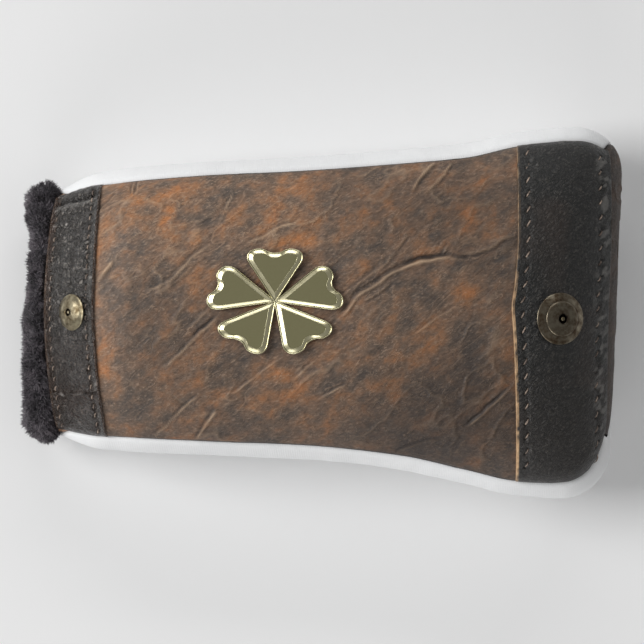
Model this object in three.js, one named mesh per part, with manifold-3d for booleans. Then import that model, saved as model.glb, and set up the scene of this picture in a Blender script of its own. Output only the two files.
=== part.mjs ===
// Putter head cover: a soft pull-on pouch for the head of a putter, lying on its back.
// Millimetres. +X runs from the mouth to the closed end, +Z is the outward side of the
// front panel, and z = 0 is the surface that the back panel rests on.
import * as THREE from "three";
import { mergeVertices } from "three/addons/utils/BufferGeometryUtils.js";
import Module from "manifold-3d";

const wasm = await Module();
wasm.setup();

// ---------------------------------------------------------------- driving dimensions

const GAP = 0.3; // clearance between touching pieces

// Pouch: stations run along X, from the mouth's rim to the closed end.
const RIM = -87;
const TOE = 100.7;
const RIM_BOW = 4.8; // how far the middle of the rim stands out past its sides
const TOE_SLANT = 3.6; // how much shorter the -Y side is than the +Y side
const TOE_CORNER = 16; // corner radius of the closed end, seen from the front
const TOE_RUN_FRONT = 42; // length over which the front rounds down to the closed end
const TOE_RUN_BACK = 30;
const FRONT_SQUARENESS = 2.3; // superellipse exponents of the cross-section
const BACK_SQUARENESS = 3;
const UPPER_SIDE = [
  [-87, 41], [-73, 47], [-40, 50.3], [-6, 52], [27, 54.4], [48, 56.3], [66, 60.2], [80, 61.7],
];
const LOWER_SIDE = [
  [-87, 41], [-73, 45.4], [-40, 47.3], [-6, 48.7], [27, 52.2], [48, 56.8], [66, 60.6], [80, 61.7],
];
const FRONT_HEIGHT = [
  [-87, 29], [-82.5, 34.4], [-78, 39.2], [-73.5, 43.2], [-70, 45.6], [-60, 49.2], [-40, 51.2],
  [10, 52], [60, 51.6],
];
const EQUATOR_HEIGHT = [[-87, 15.5], [-70, 18.5], [-55, 22], [-40, 24]];
const BACK_HEIGHT = [[-87, 2], [-74, 0], [-60, -1.2]]; // below 0 it lies flat

// Layers, as depths below the outer surface.
const LEATHER = [0, 1.2];
const PADDING = [1.5, 3.6];
const SHELL = [0, 3.6];
const LINING = [5.2, 7.2];
const ELASTIC = [3.9, 5.2];
const STRAP = [-1.5, -0.3];

// Seams.
const SEAM_INSET = [[-87, 0.2], [-83, 3], [-74, 4.4], [92, 4.4]];
const TOE_WRAP = 5; // how far the front panel wraps below the widest line of the closed end
const TOE_WRAP_FROM = 94.5; // the stations between which its seam drops that far
const TOE_WRAP_TO = 100.6;
const BACK_SEAM = 7.5;
const LINING_SEAM = 21;
const LINING_START = -69;

// Straps, as curves X(Y) of their two edges.
const MOUTH_STRAP_OUTER = [[-42, -86.6], [-30, -88.9], [0, -91.2], [30, -89.2], [42, -86.6]];
const MOUTH_STRAP_INNER = [[-42, -70.2], [-20, -72.8], [0, -74], [20, -73.4], [42, -72]];
const TOE_STRAP_INNER = [[-60, 64.9], [-35, 64.5], [-8, 63.5], [2, 62.9], [9, 63.8], [26, 65], [60, 65.2]];
const TOE_STRAP_OUTER = [[-60, 95], [-20, 94.2], [0, 94.6], [30, 95.8], [60, 95.6]];
const STITCH_INSET = 2.2;
const THREAD_RADIUS = 0.35;
const THREAD_SIDES = 5;

// Fastenings.
// `washer` is the depth of the washer that each rivet or post is closed on.
const MOUTH_RIVET = { station: -76.4, y: 0.2, radius: 6.1, height: 2.6, washer: 3.3 };
const TOE_RIVET = { station: 79.6, y: -1.9, radius: 8.6, height: 3.6, washer: 3.9 };
const RIVET_POST = 1.4;
const WASHER_THICKNESS = 0.5;
const WASHER_RIM = 1.6;
const BADGE = { x: -14.5, y: 3.7, thickness: 2.6, rim: 1.7, squash: 0.8, washer: 4.2 };
const PETAL_OVERLAP = 0.8; // how far the petals reach past the middle, where they join
const PETAL_SIDE = 9.3; // half the petal's width
const PETAL_SHOULDER = 15.6; // where its straight sides turn into its lobes
const PETAL_TOP = 21.7;
const PETAL_NOTCH = 20.3;
const BADGE_POST = 1;
const BADGE_POST_X = 11;

// Faux fur cuff at the mouth.
const CUFF_TIP = -100.95;
const CUFF_WIDTH = 43.2;
const CUFF_HEIGHT = 14.8;
const CUFF_MID = 15.5;
const CUFF_SLIT = 5.6; // half the height of the way in, for the shaft
const CUFF_DEPTH = 6.4; // of its sewn-in part, below the shell's outer surface

const AROUND = 28; // facets round the cross-section
const STATIONS = [
  RIM, -82.5, -78, -73.5, -68, -59, -42, -12, 25, 58.7, 70, 79, 87, 93, 97.5, 99.9, TOE,
];

// ---------------------------------------------------------------- curves

// Smooth curve through points [x, y], with no overshoot and level beyond its ends.
function through(points) {
  const slope = points.slice(1).map(([x, y], i) => (y - points[i][1]) / (x - points[i][0]));
  const tangent = points.map((_, i) => {
    if (i === 0) return slope[0];
    if (i === points.length - 1) return slope[i - 1];
    return slope[i - 1] * slope[i] <= 0 ? 0 : 2 / (1 / slope[i - 1] + 1 / slope[i]);
  });
  return (x) => {
    if (x <= points[0][0]) return points[0][1];
    if (x >= points.at(-1)[0]) return points.at(-1)[1];
    const i = points.findIndex(([end]) => end > x) - 1;
    const span = points[i + 1][0] - points[i][0];
    const t = (x - points[i][0]) / span;
    const start = points[i][1] + t * t * (3 - 2 * t) * (points[i + 1][1] - points[i][1]);
    const bend = t * (1 - t) * span;
    return start + bend * ((1 - t) * tangent[i] - t * tangent[i + 1]);
  };
}

const smoothstep = THREE.MathUtils.smoothstep;
const upperSide = through(UPPER_SIDE);
const lowerSide = through(LOWER_SIDE);
const frontHeight = through(FRONT_HEIGHT);
const equatorHeight = through(EQUATOR_HEIGHT);
const backHeight = through(BACK_HEIGHT);
const seamInset = through(SEAM_INSET);

// ---------------------------------------------------------------- the pouch's surface

const power = (value, exponent) => Math.sign(value) * Math.abs(value) ** exponent;
const superellipse = (x, n) => Math.max(0, 1 - Math.abs(x) ** n) ** (1 / n);

// How far a station lies along a rounded run that ends at the closed end, from 0 to 1.
const along = (station, run) => THREE.MathUtils.clamp((station - TOE + run) / run, 0, 1);
const round = (t) => Math.sqrt(Math.max(0, 1 - t * t));

// The cross-section at a station, at a depth below the outer surface.
function section(station, depth) {
  const middle = (upperSide(station) - lowerSide(station)) / 2;
  const width = (upperSide(station) + lowerSide(station)) / 2;
  const corner = (TOE_CORNER - depth) * round(along(station, TOE_CORNER));
  const mid = equatorHeight(station);
  return {
    x: station - depth * along(station, TOE_RUN_FRONT),
    middle,
    width: width - TOE_CORNER + corner,
    mid,
    front: (frontHeight(station) - depth - mid) * round(along(station, TOE_RUN_FRONT)),
    back: (mid - backHeight(station) - depth) * round(along(station, TOE_RUN_BACK)),
  };
}

// A point of the surface. The angle runs from the +Y side (0) over the front (90 degrees).
function surface(station, angle, depth = 0) {
  const s = section(station, depth);
  const across = power(Math.cos(angle), 2 / FRONT_SQUARENESS);
  const rise = Math.sin(angle) >= 0
    ? s.front * superellipse(across, FRONT_SQUARENESS)
    : -s.back * superellipse(across, BACK_SQUARENESS);
  const y = s.middle + s.width * across;
  const bow = RIM_BOW * (1 - across * across) * (1 - smoothstep(station, RIM, -40));
  const slant = (TOE_SLANT / 2) * (1 - y / 40) * smoothstep(station, 40, TOE);
  return new THREE.Vector3(s.x - bow - slant, y, Math.max(depth, s.mid + rise));
}

// Height of the front seam: a little inside the silhouette, then round below the closed end.
function frontSeam(station) {
  const s = section(station, 0);
  const rise = superellipse(1 - seamInset(station) / s.width, FRONT_SQUARENESS);
  const height = s.mid + s.front * rise;
  const wrapped = smoothstep(station, TOE_WRAP_FROM, TOE_WRAP_TO);
  return THREE.MathUtils.lerp(height, s.mid - TOE_WRAP, wrapped);
}

// The front surface's angle at a place across the pouch.
function angleAt(station, y) {
  const s = section(station, 0);
  return Math.acos(power((y - s.middle) / s.width, FRONT_SQUARENESS / 2));
}

// The station whose front surface lies at a given X and Y.
function stationAt(x, y) {
  let station = x;
  for (let i = 0; i < 12; i++) station += x - surface(station, angleAt(station, y)).x;
  return station;
}

// Outward normal of the front surface.
function normalAt(station, y) {
  const angle = angleAt(station, y);
  const alongX = surface(station + 1, angle).sub(surface(station - 1, angle));
  const acrossY = surface(station, angle - 0.02).sub(surface(station, angle + 0.02));
  return alongX.cross(acrossY).normalize();
}

// ---------------------------------------------------------------- solids

function geometryOf(vertices, triangles) {
  const geometry = new THREE.BufferGeometry();
  geometry.setAttribute("position", new THREE.Float32BufferAttribute(vertices, 3));
  geometry.setIndex(triangles);
  return geometry;
}

function toSolid(geometry) {
  const bare = geometry.clone();
  bare.deleteAttribute("normal");
  bare.deleteAttribute("uv");
  const merged = mergeVertices(bare, 1e-3);
  const vertProperties = new Float32Array(merged.getAttribute("position").array);
  const triVerts = new Uint32Array(merged.index.array);
  return new wasm.Manifold(new wasm.Mesh({ numProp: 3, vertProperties, triVerts }));
}

function toGeometry(solid) {
  const { vertProperties, triVerts } = solid.getMesh();
  return geometryOf([...vertProperties], [...triVerts]);
}

// Skin over a list of rings with the same number of points, in order along the skin.
function skin(rings, closed) {
  const count = rings[0].length;
  const vertices = rings.flat().flatMap((p) => [p.x, p.y, p.z]);
  const triangles = [];
  const rows = closed ? rings.length : rings.length - 1;
  for (let i = 0; i < rows; i++) {
    const next = (i + 1) % rings.length;
    for (let j = 0; j < count; j++) {
      const k = (j + 1) % count;
      const a = i * count + j;
      const b = i * count + k;
      const c = next * count + k;
      const d = next * count + j;
      triangles.push(a, b, c, a, c, d);
    }
  }
  return geometryOf(vertices, triangles);
}

const angles = Array.from({ length: AROUND }, (_, i) => (2 * Math.PI * i) / AROUND);
const ringAt = (station, depth) => angles.map((angle) => surface(station, angle, depth));

// A bag that follows the pouch between two depths, open at its mouth.
function bag([outer, inner], start = RIM) {
  const stations = [start, ...STATIONS.filter((station) => station > start + 1)];
  const inwards = stations.map((station) => ringAt(station, inner)).reverse();
  const outwards = stations.map((station) => ringAt(station, outer));
  return toSolid(skin([...inwards, ...outwards], true));
}

// A block that fills an outline in a plane: "xz" runs across Y, "xy" runs up Z.
const FAR = 120;
function block(points, plane) {
  const outline = new THREE.Shape(points.map(([a, b]) => new THREE.Vector2(a, b)));
  const geometry = new THREE.ExtrudeGeometry(outline, { depth: 2 * FAR, bevelEnabled: false });
  geometry.translate(0, 0, -FAR);
  if (plane === "xz") geometry.rotateX(Math.PI / 2);
  return toSolid(geometry);
}

const seamLine = [-FAR, RIM - 2, ...STATIONS.map((station) => station + 1.3), FAR];
const above = (height) => block([
  ...seamLine.map((x) => [x, height(x)]),
  [FAR, FAR],
  [-FAR, FAR],
], "xz");
const below = (height) => block([
  ...seamLine.map((x) => [x, height(x)]),
  [FAR, -FAR],
  [-FAR, -FAR],
], "xz");

function cylinder(radius, from, to, sides = 10) {
  const axis = to.clone().sub(from);
  const geometry = new THREE.CylinderGeometry(radius, radius, axis.length(), sides);
  geometry.applyQuaternion(
    new THREE.Quaternion().setFromUnitVectors(new THREE.Vector3(0, 1, 0), axis.normalize()),
  );
  geometry.translate(...from.clone().lerp(to, 0.5).toArray());
  return toSolid(geometry);
}

// A turned piece: a profile [radius, height] about an axis that starts at `foot`.
function turned(profile, foot, axis, sides = 24) {
  const points = profile.map(([radius, height]) => new THREE.Vector2(radius, height));
  const geometry = new THREE.LatheGeometry(points, sides);
  geometry.applyQuaternion(
    new THREE.Quaternion().setFromUnitVectors(new THREE.Vector3(0, 1, 0), axis),
  );
  geometry.translate(...foot.toArray());
  return toSolid(geometry);
}

// ---------------------------------------------------------------- the assembly

const cover = new THREE.Group();
cover.name = "putter_head_cover";

const finish = (color, roughness, metalness = 0) =>
  new THREE.MeshStandardMaterial({ color, roughness, metalness });
const brownLeather = finish(0x6b4226, 0.55);
const blackLeather = finish(0x1f1c1b, 0.5);
const whiteNeoprene = finish(0xdfe0e2, 0.85);
const foam = finish(0x3a3a3c, 0.95);
const plush = finish(0x15151a, 1);
const elasticWeb = finish(0x202022, 0.9);
const thread = finish(0xa98a63, 0.8);
const antiqueBrass = finish(0x6e5a3c, 0.35, 1);
const paleGold = finish(0xd9c88a, 0.18, 1);
const olive = finish(0x757154, 0.5);

function add(name, solid, material) {
  const mesh = new THREE.Mesh(toGeometry(solid), material);
  mesh.name = name;
  cover.add(mesh);
}

// Where a fastening stands: its place on the front surface, and its axis.
function seat(x, y) {
  const station = stationAt(x, y);
  return { point: surface(station, angleAt(station, y)), axis: normalAt(station, y) };
}
const onAxis = ({ point, axis }, height) => point.clone().addScaledVector(axis, height);

const mouthSeat = seat(surface(MOUTH_RIVET.station, Math.PI / 2).x, MOUTH_RIVET.y);
const toeSeat = seat(surface(TOE_RIVET.station, Math.PI / 2).x, TOE_RIVET.y);
const badgeSeat = {
  point: surface(stationAt(BADGE.x, BADGE.y), Math.PI / 2),
  axis: new THREE.Vector3(0, 0, 1),
};
badgeSeat.point.y = BADGE.y;
const badgePosts = [-BADGE_POST_X, BADGE_POST_X].map((x) => ({
  point: seat(BADGE.x + x, BADGE.y).point,
  axis: badgeSeat.axis,
}));

const drill = (at, radius) => cylinder(radius + GAP, onAxis(at, -9), onAxis(at, 9));
const holes = [
  drill(mouthSeat, RIVET_POST),
  drill(toeSeat, RIVET_POST),
  ...badgePosts.map((at) => drill(at, BADGE_POST)),
];
const pierced = (solid) => holes.reduce((left, hole) => left.subtract(hole), solid);

// Outer shell: front panel on its padding, the gusset round three sides, and the back.
const frontRegion = above((x) => frontSeam(x) + GAP / 2);
const gussetRegion = below((x) => frontSeam(x) - GAP / 2).intersect(
  above(() => BACK_SEAM + GAP / 2),
);
add("front_panel", pierced(bag(LEATHER).intersect(frontRegion)), brownLeather);
add("front_padding", pierced(bag(PADDING).intersect(frontRegion)), foam);
add("gusset", bag(SHELL).intersect(gussetRegion), whiteNeoprene);
add("back_panel", bag(SHELL).intersect(below(() => BACK_SEAM - GAP / 2)), whiteNeoprene);

// Lining: a bag of two halves, sewn along the sides.
const liningBag = bag(LINING, LINING_START);
add("front_lining", liningBag.intersect(above(() => LINING_SEAM + GAP / 2)), plush);
add("back_lining", liningBag.intersect(below(() => LINING_SEAM - GAP / 2)), plush);

// Elastic in the neck, between the shell and the cuff.
const [elasticOuter, elasticInner] = ELASTIC;
const elasticStations = [-86, -84, -82];
const elastic = skin([
  ...elasticStations.map((station) => ringAt(station, elasticInner)).reverse(),
  ...elasticStations.map((station) => ringAt(station, elasticOuter)),
], true);
add("mouth_elastic", toSolid(elastic), elasticWeb);

// Faux fur cuff: sewn inside the mouth, and rolling out past the rim.
function cuffRing(x, width, height, bow = 0) {
  return angles.map((angle) => {
    const across = power(Math.cos(angle), 2 / FRONT_SQUARENESS);
    const rise = power(Math.sin(angle), 2 / FRONT_SQUARENESS);
    return new THREE.Vector3(x - bow * (1 - across ** 2), width * across, CUFF_MID + height * rise);
  });
}
const cuff = skin([
  cuffRing(-74, 31, CUFF_SLIT + 0.6, RIM_BOW),
  cuffRing(-84, 30, CUFF_SLIT, RIM_BOW),
  cuffRing(-97, 31, CUFF_SLIT + 0.2),
  cuffRing(CUFF_TIP + 0.9, 34.5, 8),
  cuffRing(CUFF_TIP, 38, 10.2),
  cuffRing(CUFF_TIP + 1.2, 41.6, 12.9),
  cuffRing(-96, CUFF_WIDTH, CUFF_HEIGHT),
  cuffRing(RIM - 1.6, CUFF_WIDTH - 0.6, CUFF_HEIGHT - 0.6, RIM_BOW),
  cuffRing(RIM - 0.6, 34.4, 6.8, RIM_BOW),
  ...[RIM, -79, -72].map((station) => ringAt(station, CUFF_DEPTH)),
], true);
add("fur_cuff", toSolid(cuff), plush);

// Straps across the front, from seam to seam.
const strapBag = bag(STRAP).intersect(above((x) => frontSeam(x) + 1));
const SIDE_STEPS = [-70, -45, -36, -27, -18, -9, 0, 9, 18, 27, 36, 45, 70];
function strap(outerEdge, innerEdge) {
  const outer = through(outerEdge);
  const inner = through(innerEdge);
  const outline = [
    ...SIDE_STEPS.map((y) => [outer(y), y]),
    ...SIDE_STEPS.map((y) => [inner(y), y]).reverse(),
  ];
  return pierced(strapBag.intersect(block(outline, "xy")));
}
add("mouth_strap", strap(MOUTH_STRAP_OUTER, MOUTH_STRAP_INNER), blackLeather);
add("toe_strap", strap(TOE_STRAP_OUTER, TOE_STRAP_INNER), blackLeather);

// Stitch threads along the straps' edges, each one continuous and 2 mm or so inside the edge.
function stitchRow(edge, inset) {
  const line = through(edge);
  const depth = STRAP[0] - 2 * GAP - THREAD_RADIUS;
  const points = [];
  for (let step = 2; step <= AROUND - 2; step++) {
    const angle = (Math.PI * step) / AROUND;
    let station = line(0) + inset;
    for (let i = 0; i < 12; i++) {
      const at = surface(station, angle);
      station += line(at.y) + inset - at.x;
    }
    const at = surface(station, angle, depth);
    if (at.z > frontSeam(station) + 3) points.push(at);
  }
  const outline = new THREE.Shape(
    Array.from({ length: THREAD_SIDES }, (_, i) => {
      const turn = (2 * Math.PI * i) / THREAD_SIDES;
      return new THREE.Vector2(Math.cos(turn), Math.sin(turn)).multiplyScalar(THREAD_RADIUS);
    }),
  );
  const extrudePath = new THREE.CatmullRomCurve3(points);
  return toSolid(
    new THREE.ExtrudeGeometry(outline, { steps: Math.round(points.length * 1.3), extrudePath }),
  );
}
add("mouth_strap_stitch_outer", stitchRow(MOUTH_STRAP_OUTER, STITCH_INSET), thread);
add("mouth_strap_stitch_inner", stitchRow(MOUTH_STRAP_INNER, -STITCH_INSET), thread);
add("toe_strap_stitch_inner", stitchRow(TOE_STRAP_INNER, STITCH_INSET + 1), thread);
add("toe_strap_stitch_outer", stitchRow(TOE_STRAP_OUTER, -STITCH_INSET - 1.5), thread);

// A washer under the padding, round a post.
function washerOn(at, postRadius, depth) {
  const bore = postRadius + GAP;
  const rim = bore + WASHER_RIM;
  const foot = -depth - WASHER_THICKNESS;
  const profile = [[bore, foot], [rim, foot], [rim, -depth], [bore, -depth], [bore, foot]];
  return turned(profile, at.point, at.axis, 12);
}

// Conchos: a domed disc with a flange, held by a rivet through its middle and closed on a
// washer under the padding. Heights are measured from the front panel's surface.
function concho(name, at, { radius, height, washer }) {
  const foot = -STRAP[0] + GAP;
  const top = foot + height;
  const bore = RIVET_POST + GAP;
  const nub = radius * 0.3;
  const disc = [
    [bore, foot], [radius, foot], [radius, foot + 0.6], [radius * 0.86, foot + 1],
    [radius * 0.78, foot + height * 0.62], [radius * 0.6, top - 0.3], [nub + 0.9, top],
    [nub + 0.2, top - 0.8], [bore, top - 0.8], [bore, foot],
  ];
  const seatHeight = top - 0.8 + GAP;
  const end = -washer - WASHER_THICKNESS;
  const rivet = [
    [0, end], [RIVET_POST, end], [RIVET_POST, seatHeight], [nub, seatHeight],
    [nub * 0.95, seatHeight + 0.5], [nub * 0.55, seatHeight + 1], [0, seatHeight + 1.2],
  ];
  add(`${name}_concho`, turned(disc, at.point, at.axis), antiqueBrass);
  add(`${name}_rivet`, turned(rivet, at.point, at.axis, 12), antiqueBrass);
  add(`${name}_rivet_burr`, washerOn(at, RIVET_POST, washer), antiqueBrass);
}
concho("mouth", mouthSeat, MOUTH_RIVET);
concho("toe", toeSeat, TOE_RIVET);

// Badge: five heart-shaped petals joined at their points, each with a sunk inlay.
// A petal points along +Y from the badge's middle; `shrink` moves its outline inwards.
function petal(shrink) {
  const tip = 2 * shrink - PETAL_OVERLAP;
  const side = PETAL_SIDE - shrink;
  const top = PETAL_TOP - shrink;
  const notch = PETAL_NOTCH - shrink;
  const shape = new THREE.Shape();
  shape.moveTo(0, tip);
  shape.lineTo(side - 0.7, PETAL_SHOULDER);
  shape.bezierCurveTo(side + 0.9, 18.6, side - 0.9, top + 0.1, side - 3.8, top);
  shape.bezierCurveTo(side - 5.8, top, side - 7, notch, 0, notch);
  shape.bezierCurveTo(7 - side, notch, 5.8 - side, top, 3.8 - side, top);
  shape.bezierCurveTo(0.9 - side, top + 0.1, -side - 0.9, 18.6, 0.7 - side, PETAL_SHOULDER);
  shape.closePath();
  return shape;
}
function petalSolid(shrink, turn, foot, top) {
  const geometry = new THREE.ExtrudeGeometry(petal(shrink), {
    depth: top - foot,
    bevelEnabled: false,
    curveSegments: 4,
  });
  geometry.rotateZ(turn);
  geometry.scale(1, BADGE.squash, 1);
  geometry.translate(badgeSeat.point.x, BADGE.y, badgeSeat.point.z + foot);
  return toSolid(geometry);
}
const badgeFoot = GAP + 0.1;
const badgeTop = badgeFoot + BADGE.thickness;
const pocketFloor = badgeFoot + 1;
const inlayTop = badgeTop - 0.3;
const turns = Array.from({ length: 5 }, (_, i) => (-2 * Math.PI * i) / 5);
const petals = turns
  .map((turn) => petalSolid(0, turn, badgeFoot, badgeTop))
  .reduce((joined, one) => joined.add(one));
const pockets = turns.map((turn) => petalSolid(BADGE.rim, turn, pocketFloor, badgeTop + 1));
const posts = badgePosts.map((at) =>
  cylinder(BADGE_POST, onAxis(at, -BADGE.washer - WASHER_THICKNESS), onAxis(at, badgeFoot + 1)),
);
const plate = pockets.reduce((left, pocket) => left.subtract(pocket), petals);
add("badge_frame", posts.reduce((joined, post) => joined.add(post), plate), paleGold);
turns.forEach((turn, i) => {
  const inlay = petalSolid(BADGE.rim + GAP, turn, pocketFloor + GAP, inlayTop);
  add(`badge_inlay_${i + 1}`, inlay, olive);
});
badgePosts.forEach((at, i) => {
  add(`badge_clutch_${i + 1}`, washerOn(at, BADGE_POST, BADGE.washer), antiqueBrass);
});

export default cover;
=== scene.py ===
"""Looks of the putter head cover: leather, neoprene, plush, stitches and brass on the CAD frame.

Shapes are worked out in millimetres, in the frame's own axes, and turned to metres as each
mesh is made. +X runs from the mouth to the closed end and +Z points out of the front panel.
A point of the pouch is given by its station, along X, and its angle round the section there.
"""
import math

import bmesh
import bpy
import numpy as np
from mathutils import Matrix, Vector


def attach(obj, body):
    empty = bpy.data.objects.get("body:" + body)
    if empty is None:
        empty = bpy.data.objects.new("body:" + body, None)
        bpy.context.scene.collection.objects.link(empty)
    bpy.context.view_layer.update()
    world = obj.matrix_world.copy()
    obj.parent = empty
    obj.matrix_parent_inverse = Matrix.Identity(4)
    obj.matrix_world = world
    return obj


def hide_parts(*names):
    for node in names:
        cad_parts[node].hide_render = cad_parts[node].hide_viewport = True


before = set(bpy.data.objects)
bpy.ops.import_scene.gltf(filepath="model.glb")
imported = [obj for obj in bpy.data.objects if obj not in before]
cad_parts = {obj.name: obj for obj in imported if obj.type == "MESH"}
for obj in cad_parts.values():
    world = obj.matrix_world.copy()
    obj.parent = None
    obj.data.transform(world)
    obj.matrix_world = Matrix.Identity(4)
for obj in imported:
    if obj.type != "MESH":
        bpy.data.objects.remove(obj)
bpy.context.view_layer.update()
MM = 0.001

# ---------------------------------------------------------------- driving sizes, in mm

# the open and the closed end, the bow of the one and the slant of the other
RIM = -87.0
TOE = 100.7
RIM_BOW = 4.8
TOE_SLANT = 3.6
# how far before the closed end its corners, its front and its back start to round off
TOE_CORNER = 16.0
TOE_RUN_FRONT = 42.0
TOE_RUN_BACK = 30.0
TOE_BEND = 36.0  # radius of a quarter circle about as long as the front's bend
# how square the section is over and under its widest line
FRONT_SQUARENESS = 2.3
BACK_SQUARENESS = 3.0
# half widths and heights of the section at stations along X
UPPER_SIDE = [
    (-87, 41), (-73, 47), (-40, 50.3), (-6, 52), (27, 54.4), (48, 56.3), (66, 60.2), (80, 61.7),
]
LOWER_SIDE = [
    (-87, 41), (-73, 45.4), (-40, 47.3), (-6, 48.7), (27, 52.2), (48, 56.8), (66, 60.6), (80, 61.7),
]
FRONT_HEIGHT = [
    (-87, 29), (-82.5, 34.4), (-78, 39.2), (-73.5, 43.2), (-70, 45.6), (-60, 49.2), (-40, 51.2),
    (10, 52), (60, 51.6),
]
EQUATOR_HEIGHT = [(-87, 15.5), (-70, 18.5), (-55, 22), (-40, 24)]
BACK_HEIGHT = [(-87, 2), (-74, 0), (-60, -1.2)]
SEAM_INSET = [(-87, 0.2), (-83, 3), (-74, 4.4), (92, 4.4)]
# where the front's seam drops round the closed end, and how far under the widest line
TOE_WRAP = 5.0
TOE_WRAP_FROM = 94.5
TOE_WRAP_TO = 100.6
BACK_SEAM = 7.5
SEAM_GAP = 0.1
# where the lining starts, the height at which its two halves meet, their gap, and both faces'
# depths in the pouch
LINING_START = -69.0
LINING_SEAM = 21.0
LINING_GAP = 0.4
LINING_DEPTHS = (5.3, 7.1)
# the cuff's middle height, and how far its lip stands back at each y
CUFF_MID = 15.5
CUFF_SET_BACK = [(-42, 3.4), (-36, 2.2), (-28, 1.4), (-10, 1.4), (5, 2.2), (16, 3.4), (26, 4.0),
                 (34, 2.6), (40, 3.4)]

# edges of the straps as points (y, x), and their top above the pouch's surface
MOUTH_STRAP_OUTER = [(-42, -86.0), (-30, -88.3), (0, -90.5), (30, -88.6), (42, -86.0)]
MOUTH_STRAP_INNER = [(-42, -70.2), (-20, -72.8), (0, -74), (20, -73.4), (42, -72)]
TOE_STRAP_INNER = [
    (-60, 64.9), (-35, 64.5), (-8, 63.5), (2, 62.9), (9, 63.8), (26, 65), (60, 65.2),
]
TOE_STRAP_OUTER = [(-60, 95), (-20, 94.2), (0, 94.6), (30, 95.8), (60, 95.6)]
STRAP_LIFT = 1.5

LEATHER_CELL = 0.5  # size of the mesh cells of each part of the pouch
NEOPRENE_CELL = 0.85
LINING_CELL = 1.6
ELASTIC_CELL = 0.8
STRAP_STEPS = 420  # points along each strap
GRAIN = 38  # direction of the leather's fibres, in degrees from +X
STRAND_COUNT = 30000  # strands of fur on the cuff
# the badge: its middle, its squeeze along Y, its height over the leather, and its petals
BADGE_X, BADGE_Y = -14.5, 3.7
BADGE_SQUASH = 0.8
BADGE_FOOT = 0.4
PETALS = 5
PETAL_SIDE = 9.3
PETAL_SHOULDER = 15.6
PETAL_TOP = 21.7
PETAL_NOTCH = 20.0


# ---------------------------------------------------------------- curves and noise

def through(points):
    """Smooth curve through points (x, y), with no overshoot and level beyond its ends."""
    xs, ys = np.array(points, float).T
    rise = np.diff(ys) / np.diff(xs)
    both = rise[:-1] * rise[1:]
    total = np.where(both > 0, rise[:-1] + rise[1:], 1)
    tangent = np.concatenate([rise[:1], np.where(both > 0, 2 * both / total, 0), rise[-1:]])

    def curve(x):
        x = np.clip(x, xs[0], xs[-1])
        i = np.clip(np.searchsorted(xs, x, side="right") - 1, 0, len(xs) - 2)
        span = xs[i + 1] - xs[i]
        t = (x - xs[i]) / span
        start = ys[i] + t * t * (3 - 2 * t) * (ys[i + 1] - ys[i])
        return start + t * (1 - t) * span * ((1 - t) * tangent[i] - t * tangent[i + 1])

    return curve


def run_of(points):
    """Distance run along a line of points, from its first point to each."""
    steps = np.linalg.norm(np.diff(points, axis=0), axis=1)
    return np.concatenate([[0], np.cumsum(steps)])


def smooth(x, low, high):
    """Rises smoothly from 0 at low to 1 at high."""
    t = np.clip((x - low) / (high - low), 0, 1)
    return t * t * (3 - 2 * t)


def bump_at(distance, width):
    """A smooth bump, 1 high where the distance is 0 and about `width` wide."""
    return np.exp(-((distance / width) ** 2))


def power(value, exponent):
    """A power that keeps the value's sign."""
    return np.sign(value) * np.abs(value) ** exponent


def superellipse(x, n):
    return np.maximum(0, 1 - np.abs(x) ** n) ** (1 / n)


def lattice(ix, iy, iz, salt):
    """A repeatable value from 0 to 1 for each whole-number cell."""
    h = ix * 374761393 + iy * 668265263 + iz * 2147483647 + salt * 1274126177
    h = (h ^ (h >> 13)) * 1274126177
    h = (h ^ (h >> 16)) & 0xFFFFFF
    return h / 0xFFFFFF


def noise(p, size, salt=0):
    """Smooth noise from -1 to 1 at points p (..., 3), with features of about `size`."""
    q = p / size
    base = np.floor(q).astype(np.int64)
    f = q - base
    f = f * f * (3 - 2 * f)
    total = 0
    for dx in (0, 1):
        for dy in (0, 1):
            for dz in (0, 1):
                weight = np.abs(1 - dx - f[..., 0]) * np.abs(1 - dy - f[..., 1])
                weight = weight * np.abs(1 - dz - f[..., 2])
                cell = lattice(base[..., 0] + dx, base[..., 1] + dy, base[..., 2] + dz, salt)
                total = total + weight * cell
    return 2 * total - 1


def turbulence(p, size, octaves, salt):
    """Noise summed over ever finer sizes."""
    return sum(noise(p, size / 2**k, salt + k) / 2**k for k in range(octaves))


def turned(p, degrees, stretch=1.0):
    """Points turned about Z, then squeezed along their new X so that noise runs along it."""
    a = math.radians(degrees)
    x = p[..., 0] * math.cos(a) + p[..., 1] * math.sin(a)
    y = p[..., 1] * math.cos(a) - p[..., 0] * math.sin(a)
    return np.stack([x / stretch, y, p[..., 2]], -1)


# ---------------------------------------------------------------- the pouch's surface

upper_side = through(UPPER_SIDE)
lower_side = through(LOWER_SIDE)
front_height = through(FRONT_HEIGHT)
equator_height = through(EQUATOR_HEIGHT)
back_height = through(BACK_HEIGHT)
seam_inset = through(SEAM_INSET)


def along(station, run):
    """From 0 to 1 over the last `run` before the closed end."""
    return np.clip((station - TOE + run) / run, 0, 1)


def rounding(t):
    return np.sqrt(np.maximum(0, 1 - t * t))


def section(station, depth):
    """Middle, half width, middle height, and heights over and under it, `depth` inside."""
    middle = (upper_side(station) - lower_side(station)) / 2
    width = (upper_side(station) + lower_side(station)) / 2
    corner = (TOE_CORNER - depth) * rounding(along(station, TOE_CORNER))
    mid = equator_height(station)
    front = (front_height(station) - depth - mid) * rounding(along(station, TOE_RUN_FRONT))
    back = (mid - back_height(station) - depth) * rounding(along(station, TOE_RUN_BACK))
    return middle, width - TOE_CORNER + corner, mid, front, back


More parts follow.
